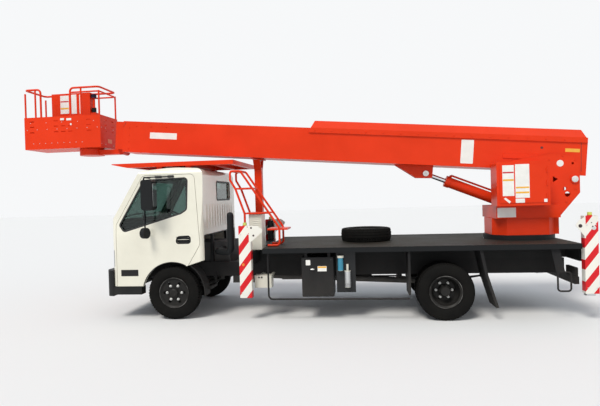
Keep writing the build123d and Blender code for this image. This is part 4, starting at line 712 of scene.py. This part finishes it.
mirror_glass_y = (1.060, 1.200)
clamp_face = 0.874
clamp_rows = [(-0.246, -0.140, 2.080, 2.112), (-0.050, 0.046, 2.080, 2.114)]
for side, tag, body in door_bodies:
    face_y = sorted((side * mirror_glass_y[0], side * mirror_glass_y[1]))
    face = end_slab(face_y, (1.664, 1.994), -0.150, 0.030, 0.0025)
    piece(f"mirror_face_{tag}", [face], mirror_glass, body)
    arm = route(at([0.020, -0.160, -0.260, -0.330]), side * np.array([0.888, 0.890, 0.960, 1.075]),
                [2.100, 2.098, 2.092, 2.084])
    clamps = plates(clamp_rows, side * clamp_face, side, 0.022, 0.010)
    piece(f"mirror_arm_{tag}", [bar_grid(arm, 0.009), *clamps], seal_rubber, body)

# Door handles: a dish of black plastic, let into the skin and screwed from inside, with a raised rim and a
# pull bar across it.
handle_rim = rounded([(0.072, 1.119, 0.030), (0.286, 1.119, 0.034), (0.286, 1.222, 0.034),
                      (0.095, 1.214, 0.045)])
bow = 0.004 * np.sin(np.linspace(0, math.pi, 12))
for side, tag, body in door_bodies:
    dish = side_slab(panel((0.083, 0.277), (1.128, 1.212), 0.030), side * 0.9275, side, 0.003)
    grip = route(at(np.linspace(0.080, 0.280, 12)), side * 0.9415, 1.185 + bow)
    rim_path = route(at(handle_rim[:, 0]), side * 0.9495, handle_rim[:, 1])
    pull_bar = bar_grid(grip, 0.019, 0.0065, facing=(0, side, 0))
    rim = bar_grid(rim_path, 0.011, 0.0025, closed=True, facing=(0, side, 0))
    piece(f"door_handle_{tag}", [dish, pull_bar, rim], trim, body)

# Door trim: a blank black plate bonded low on the left door, and the rubber lip that is pushed onto the edge
# of the wheel opening in each door.
plate_black = sprayed("plate_black", (0.012, 0.012, 0.013), 0.35, dusty=0.1)
door_skin = -0.950
door_plate = plates([(-0.780, -0.515, 0.649, 0.742)], door_skin, -1, 0.0025, 0.008)
piece("door_plate", door_plate, plate_black, "door_left")
arch_angle = np.radians(np.linspace(165, 63, 32))
arch_line = 0.456
arch_y = 0.944
for side, tag, body in door_bodies:
    lip_path = route(at(arch_line * np.cos(arch_angle)), side * arch_y,
                     axle_z + arch_line * np.sin(arch_angle))
    lip = bar_grid(lip_path, 0.007, 0.009, facing=(0, side, 0))
    piece(f"arch_lip_{tag}", [lip], seal_rubber, body)

# Grille: a mesh of dark wire behind the slots in the nose, painted dark as the shaded inside of the nose that
# # shows through them, with round holes painted darker still as deeper shade. It lets the air in and keeps
# stones out.
mesh_pitch = 0.018
grille_shade_finish = Finish("grille_shade_mesh")
where, x, y, z = grille_shade_finish.place()
# Painted shade: the mesh's holes are darker, as the shaded space behind the grille.
mesh_hole_shade = (grille_shade_finish.wave(y, mesh_pitch) * grille_shade_finish.wave(z, mesh_pitch)) > 0.1
grille_shade_finish.surface(base_color=grille_shade_finish.mix((0.03, 0.03, 0.032, 1), (0.004, 0.004, 0.004, 1), mesh_hole_shade),
                    roughness=0.6, normal=grille_shade_finish.bump(mesh_hole_shade, 0.002, 0.8))
grille_outline = panel((-0.505, 0.505), (0.812, 1.068), 0.01)
grille = slab_grid(grille_outline, (at(-0.944), 0, 0), (0, -1, 0), (0, 0, 1), 0.004)
piece("grille_shade_mesh", [grille], grille_shade_finish, "truck")

# Back wall of the cab: upright ribs pressed into the sheet below the rear window to stiffen it, under the
# cab's own coat. Each rib swells out of the wall and sinks back at its ends.
rib_pitch = 0.14
rib_wall = 0.4745
rib_z = np.linspace(1.300, 1.680, 9)
swell = 0.0055 * np.sin(np.linspace(0.0, math.pi, 9)) ** 0.4
ribs = [bar_grid(route(at(rib_wall) + swell, y, rib_z), 0.022, 0.006, facing=(1, 0, 0))
        for y in np.arange(-0.70, 0.71, rib_pitch)]
piece("back_wall_ribs", ribs, cab_paint, "truck")

# Boom fittings: blank signs, a raised cover with its bolts, a few rows of bolt heads and thin seams. They are
# laid out along the tube from its pivot, and lean with it at rest.
boom_lean = math.radians(4.65)
boom_pivot = (float(at(5.820)), 1.887)
boom_face = 0.250
hood_face = 0.270


def boom_slab(outline, side=-1, thickness=0.0015):
    """A slab on the boom's side, from its outline as (distance rearwards, height) from the pivot."""
    return side_slab(outline, side * boom_face, side, thickness, boom_lean, boom_pivot)


def boom_place(a, v, y):
    """A place on the boom from its distance rearwards and height over the pivot."""
    return (boom_pivot[0] + a * math.cos(boom_lean) + v * math.sin(boom_lean), y,
            boom_pivot[1] - a * math.sin(boom_lean) + v * math.cos(boom_lean))


def plain_ink(name, colour, roughness=0.4):
    """A bonded sign's face: an even colour that has weathered in patches."""
    ink = Finish(name)
    where, x, y, z = ink.place()
    age = ink.noise(where, 9.0, detail=5)
    deep = tuple(c * 0.86 for c in colour) + (1,)
    return ink.surface(base_color=ink.mix(deep, (*colour, 1), (age * 2.0 - 0.4).clip()), coat_weight=0.2,
                       roughness=(age * 0.2 + roughness - 0.1).clip())


sign_white = plain_ink("sign_white", (0.84, 0.83, 0.78))
sign_yellow = plain_ink("sign_yellow", (0.83, 0.42, 0.03))
sign_red = plain_ink("sign_red", (0.55, 0.02, 0.03))
sign_orange = plain_ink("sign_orange", (0.80, 0.22, 0.02))
seam_dark = plain_ink("seam_dark", (0.10, 0.008, 0.003), 0.6)
piece("boom_signs", [boom_slab(panel((-1.603, -1.423), (0.158, 0.510), 0.012)),
                     boom_slab(panel((-6.446, -5.999), (0.340, 0.438)))], sign_white, "boom")
piece("boom_strip", [boom_slab(panel((-0.137, 0.063), (0.389, 0.439)))], sign_yellow, "boom")
cover = [boom_slab(panel((-1.006, -0.492), (0.260, 0.346), 0.010), -1, 0.010)]
cover += [bolt_head(boom_place(a, v, -boom_face - 0.009), (0, -1, 0), 0.006, 0.006, 8)
          for a in np.linspace(-0.985, -0.515, 9) for v in (0.268, 0.338)]
piece("boom_cover", cover, boom_paint, "boom")
tail_seam = [(0.0960, 0.112), (0.1020, 0.112), (0.0775, 0.528), (0.0715, 0.528)]
front_seam = [(-6.902, 0.498), (-6.897, 0.506), (-6.853, 0.584), (-6.862, 0.584)]
piece("boom_marks", [boom_slab(disc(-0.4624, 0.436, 0.019)), boom_slab(tail_seam), boom_slab(front_seam)],
      seam_dark, "boom")
hood_bolts = [(a, 0.562, hood_face, 0.010) for a in np.arange(-3.80, 0.10, 0.26)]
lip_bolts = [(a, 0.531, boom_face, 0.011) for a in (-6.679, -6.440, -6.180)]
end_bolts = [(-6.800, v, boom_face, 0.009) for v in (0.170, 0.280, 0.390, 0.500)]
bolts = [bolt_head(boom_place(a, v, side * y), (0, side, 0), radius, 0.008)
         for side in (-1, 1) for a, v, y, radius in hood_bolts + lip_bolts + end_bolts]
piece("boom_bolts", bolts, boom_paint, "boom")
pin_caps = []
for side in (-1, 1):
    centre = boom_place(-2.076, -0.009, side * 0.106)
    pin_caps.append(bolt_head(centre, (0, side, 0), 0.044, 0.009, 32))
    pin_caps.append(bolt_head(np.array(centre) + (0, side * 0.008, 0), (0, side, 0), 0.014, 0.010))
piece("rod_pin_caps", pin_caps, bright, "boom")

# Turret fittings: steel caps over the ends of the boom's pivot pin, each held by three small bolts, a blank
# white disc on the left side plate, and the bolts of both plates.
plate_face = 0.295
pivot_caps = []
for side in (-1, 1):
    centre = np.array((at(5.8165), side * 0.313, 1.8855))
    pivot_caps.append(bolt_head(centre, (0, side, 0), 0.0455, 0.010, 40))
    for angle in np.radians((30, 150, 270)):
        spot = centre + (0.028 * math.cos(angle), side * 0.009, 0.028 * math.sin(angle))
        pivot_caps.append(bolt_head(spot, (0, side, 0), 0.006, 0.005))
piece("pivot_caps", pivot_caps, bright, "turret")
turret_disc = side_slab(disc(5.625, 2.120, 0.048), -plate_face)
piece("turret_discs", [turret_disc], sign_white, "turret")
plate_spots = ((5.475, 2.180), (5.475, 1.600), (5.700, 1.560), (5.830, 1.745), (5.830, 2.160), (5.660, 2.225),
               (5.475, 1.740), (5.475, 2.040))
plate_bolts = [bolt_head((at(x), side * plate_face, z), (0, side, 0), 0.011, 0.009)
               for side in (-1, 1) for x, z in plate_spots]
piece("turret_bolts", plate_bolts, boom_paint, "turret")

# Turret box: blank placards with a coloured band or two on its door, the door's hinges and lock, and a blank
# white label on the band below.
door_face = -0.630
band_face = -0.425
placard_face = door_face - 0.0015
placards = [(4.731, 4.886, 1.670, 2.101), (4.902, 5.092, 1.640, 2.110), (4.902, 5.025, 1.572, 1.630),
            (5.280, 5.324, 1.574, 1.618)]
slanted = [(4.743, 1.633), (4.819, 1.566), (4.839, 1.592), (4.768, 1.648)]
label = plates([(4.705, 4.961, 1.361, 1.500)], band_face)
piece("turret_placards", [*plates(placards, door_face), side_slab(slanted, door_face), *label], sign_white,
      "turret")
red_bands = [(4.735, 4.882, 1.988, 2.009)]
yellow_bands = [(4.735, 4.882, 1.880, 1.905), (4.907, 5.087, 1.774, 1.796), (4.907, 5.087, 1.702, 1.727)]
for shade, rows, ink in (("red", red_bands, sign_red), ("yellow", yellow_bands, sign_yellow)):
    bands = plates(rows, placard_face, -1, 0.0008, 0.002)
    piece(f"turret_bands_{shade}", bands, ink, "turret")
hinge_line = np.linspace(-0.035, 0.035, 4)
hinges = [bar_grid(route(at(5.322), door_face - 0.004, z + hinge_line), 0.009, facing=(0, -1, 0))
          for z in (1.660, 1.840, 2.020)]
hinges.append(side_slab(disc(4.716, 1.640, 0.010), door_face, -1, 0.006))
piece("turret_door_hinges", hinges, boom_paint, "turret")

# Basket fittings: blank placards on the control box, small white labels on the near panel, rows of rivets, an
# orange label on the end panel, and the control lever's dark knob and foot.
box_face = 0.150
basket_face = 0.290
basket_end = -1.390
box_placards = [(-2.341, -2.184, 3.290, 3.601), (-2.165, -2.044, 3.283, 3.611),
                (-1.993, -1.967, 3.280, 3.604)]
basket_labels = [(-2.078, -2.012, 3.105, 3.139), (-1.971, -1.886, 3.099, 3.134),
                 (-1.908, -1.882, 3.018, 3.050)]
piece("platform_placards", plates(box_placards, box_face), sign_white, "platform")
for shade, bottom, top_z, ink in (("red", 3.487, 3.509, sign_red), ("yellow", 3.366, 3.393, sign_yellow)):
    band = plates([(-2.337, -2.188, bottom, top_z)], box_face - 0.0015, -1, 0.0008, 0.002)
    piece(f"platform_band_{shade}", band, ink, "platform")
piece("platform_labels", plates(basket_labels, -basket_face), sign_white, "platform")
end_label = end_slab((-0.060, 0.080), (2.730, 2.797), basket_end)
piece("end_label", [end_label], sign_orange, "platform")
rivet_rows = ((2.967, np.linspace(-2.66, -1.44, 8)), (2.740, np.linspace(-2.556, -1.707, 9)),
              (3.075, np.linspace(-2.60, -1.50, 5)))
rivets = [bolt_head((at(x), side * basket_face, z), (0, side, 0), 0.006, 0.005, 8)
          for side in (-1, 1) for z, places in rivet_rows for x in places]
rivets += [bolt_head((at(basket_end), y, z), (1, 0, 0), 0.006, 0.005, 8)
           for y in (-0.26, -0.13, 0.13, 0.26) for z in (2.70, 2.967)]
piece("basket_rivets", rivets, bright, "platform")
lever = (at(-1.757), 0.205, 0.0)
knob = [(3.533, 0.0), (3.533, 0.034), (3.541, 0.0435), (3.606, 0.0435), (3.616, 0.036), (3.6185, 0.0)]
stem_foot = [(3.290, 0.0), (3.290, 0.0365), (3.372, 0.0365), (3.382, 0.028), (3.384, 0.0)]
knob_plastic = sprayed("knob_plastic", (0.010, 0.014, 0.035), 0.35, dusty=0.02)
piece("lever_knob", [turned_ring(knob, lever, "z", 32)], knob_plastic, "platform")
piece("lever_foot", [turned_ring(stem_foot, lever, "z", 32)], trim, "platform")

# Outrigger covers: each has four bolts, dark discs of painted shade for the holes of its ear, and a
# yellow-green
# # lamp dome of clear plastic on top. The rear ones also have a ring, and the left front one a small orange
# reflector.
lamp_green = Finish("lamp_green")
where, x, y, z = lamp_green.place()
flutes = (lamp_green.wave(z, 0.006) * 0.5 + 0.5).clip()
lamp_green.surface(base_color=lamp_green.mix((0.42, 0.47, 0.04, 1), (0.62, 0.66, 0.12, 1), flutes),
                   roughness=0.15, coat_weight=1.0)
# Painted shade: the dark colour of the discs that stand for the open holes in the ears.
hole_shade = plain_ink("hole_shade", (0.028, 0.012, 0.012), 0.6)
skin = 1.050
lamp_y = 1.005
dome = [(0.0075, 0.0), (0.0075, 0.030), (0.012, 0.030), (0.014, 0.0285), (0.040, 0.0285), (0.0455, 0.0270),
        (0.0480, 0.018), (0.0485, 0.0)]
# along, height and radius of the dark discs painted as shade in the holes of each cover
hole_shade_spots = {"front": [(1.243, 1.218, 0.014), (1.213, 1.326, 0.014), (1.160, 1.340, 0.006)],
              "rear": [(5.576, 1.260, 0.024), (5.713, 1.300, 0.007)]}
cover_tops = {"front": 1.355, "rear": 1.390}
for row, top_z in cover_tops.items():
    place = outrigger_places[row]
    for side, tag in truck_sides:
        body = f"outrigger_{row[0]}{tag}"
        lamp = turned_ring(dome, (at(place), side * lamp_y, top_z), "z", 40)
        piece(f"lamp_{row}_{tag}", [lamp], lamp_green, body)
        heads = [bolt_head((at(place + x), side * skin, z), (0, side, 0), 0.008, 0.006)
                 for x in (-0.055, 0.055) for z in (top_z - 0.94, top_z - 0.12)]
        marks = [side_slab(disc(*hole), side * skin, side, 0.0012) for hole in hole_shade_spots[row]]
        if row == "rear":
            heads.append(bolt_head((at(5.740), side * skin, 1.232), (0, side, 0), 0.028, 0.004, 28))
            marks.append(side_slab(disc(5.725, 1.250, 0.009), side * (skin + 0.004), side, 0.0012))
        piece(f"cover_bolts_{row}_{tag}", heads, bright, body)
        piece(f"cover_hole_shades_{row}_{tag}", marks, hole_shade, body)
reflector = side_slab(disc(1.087, 0.810, 0.020), -skin, -1, 0.002)
piece("cover_reflector", [reflector], sign_orange, "outrigger_fl")

# Valve cabinet: a door of thin sheet with pressed louvres, its seam and its latch. The oil box beside the
# frame has two screw plugs and a folded seam down its face.
cabinet_face = -0.675
oil_face = -0.900
louvres = [bar_grid(route(at(np.linspace(1.160, 1.260, 7)), cabinet_face + 0.0005, z), 0.009, 0.005,
                    facing=(0, -1, 0)) for z in np.linspace(1.320, 1.460, 6)]
door_loop = panel((1.112, 1.278), (0.995, 1.488), 0.012)
seam_path = route(at(door_loop[:, 0]), cabinet_face, door_loop[:, 1])
louvres.append(bar_grid(seam_path, 0.0035, 0.0025, closed=True, facing=(0, -1, 0)))
louvres += plates([(1.240, 1.252, 0.458, 0.629)], oil_face, -1, 0.004, 0.001)
piece("cabinet_louvres", louvres, enamel, "truck")
plugs = [bolt_head((at(x), oil_face, 0.606), (0, -1, 0), 0.013, 0.012) for x in (1.275, 1.315)]
plugs += plates([(1.125, 1.150, 1.150, 1.215)], cabinet_face, -1, 0.008, 0.006)
piece("cabinet_plugs", plugs, seal_rubber, "truck")

# Locker door: black sheet steel with two blank labels bonded to it, a bright T-handle, rubber buffers at the
# corners and two lugs at its foot.
locker_face = -0.9863
handle_z = 0.726
locker_labels = plates([(1.966, 2.029, 0.782, 0.855), (2.130, 2.256, 0.696, 0.768)], locker_face)
locker_band = plates([(2.134, 2.252, 0.742, 0.764)], locker_face - 0.0015, -1, 0.0008, 0.002)
piece("locker_labels", locker_labels, sign_white, "locker_lid")
piece("locker_band", locker_band, sign_yellow, "locker_lid")
bar_y = locker_face - np.array([0.014, 0.018, 0.018, 0.014])
handle_bar = route(at([2.032, 2.045, 2.070, 2.083]), bar_y, handle_z)
stem_stages = [(0, 0.012), (0.003, 0.012), (0.004, 0.009), (0.014, 0.009)]
stem = stud_grid((at(2.0575), locker_face, handle_z), (0, -1, 0), stem_stages, 20)
piece("locker_handle", [bar_grid(handle_bar, 0.008, facing=(0, -1, 0)), stem], bright, "locker_lid")
buffers = [bolt_head((at(x), locker_face, z), (0, -1, 0), 0.010, 0.005, 10)
           for x in (1.935, 2.320) for z in (0.375, 0.855)]
buffers += plates([(1.960, 2.000, 0.350, 0.366), (2.255, 2.295, 0.350, 0.366)], locker_face, -1, 0.006)
piece("locker_buffers", buffers, seal_rubber, "locker_lid")

# Hand pump: the steel can of the oil filter in blue paint, screwed up under its head, and the pump's turned
# alloy body with its collar.
filter_blue = plain_ink("filter_blue", (0.03, 0.24, 0.36), 0.3)
pump_alloy = sprayed("pump_alloy", (0.48, 0.49, 0.50), 0.35, dusty=0.25, metal=0.7)
can = [(0.6985, 0.0), (0.6985, 0.032), (0.703, 0.0385), (0.860, 0.0385), (0.868, 0.0395), (0.876, 0.0385),
       (0.8795, 0.036), (0.8795, 0.0)]
barrel = [(0.4690, 0.0), (0.4690, 0.036), (0.474, 0.0425), (0.520, 0.0425), (0.524, 0.0445), (0.532, 0.0445),
          (0.536, 0.0425), (0.690, 0.0425), (0.7005, 0.036), (0.7005, 0.0)]
piece("filter_can", [turned_ring(can, (at(2.450), -0.962, 0), "z", 40)], filter_blue, "truck")
piece("pump_body", [turned_ring(barrel, (at(2.545), -0.966, 0), "z", 40)], pump_alloy, "truck")

# Tail lamps: moulded red, amber and clear lenses with fine prisms, screwed side by side to the rear faces of
# both lamp boxes.
lamp_box_rear = 5.610
lamp_glazes = (("red", (0.50, 0.010, 0.010), 0.565, 0.690), ("amber", (0.75, 0.20, 0.01), 0.697, 0.775),
               ("clear", (0.72, 0.72, 0.70), 0.782, 0.855))
for shade, colour, near, far in lamp_glazes:
    glaze = Finish(f"tail_{shade}")
    where, x, y, z = glaze.place()
    glaze.surface(base_color=(*colour, 1), roughness=(glaze.noise(where, 30.0) * 0.1 + 0.08).clip(),
                  coat_weight=1.0, normal=glaze.bump(glaze.wave(y, 0.006) * glaze.wave(z, 0.006), 0.001, 0.5))
    lenses = [end_slab(sorted((side * near, side * far)), (0.582, 0.682), lamp_box_rear, 0.010, 0.008)
              for side in (-1, 1)]
    piece(f"tail_lamps_{shade}", lenses, glaze, "truck")
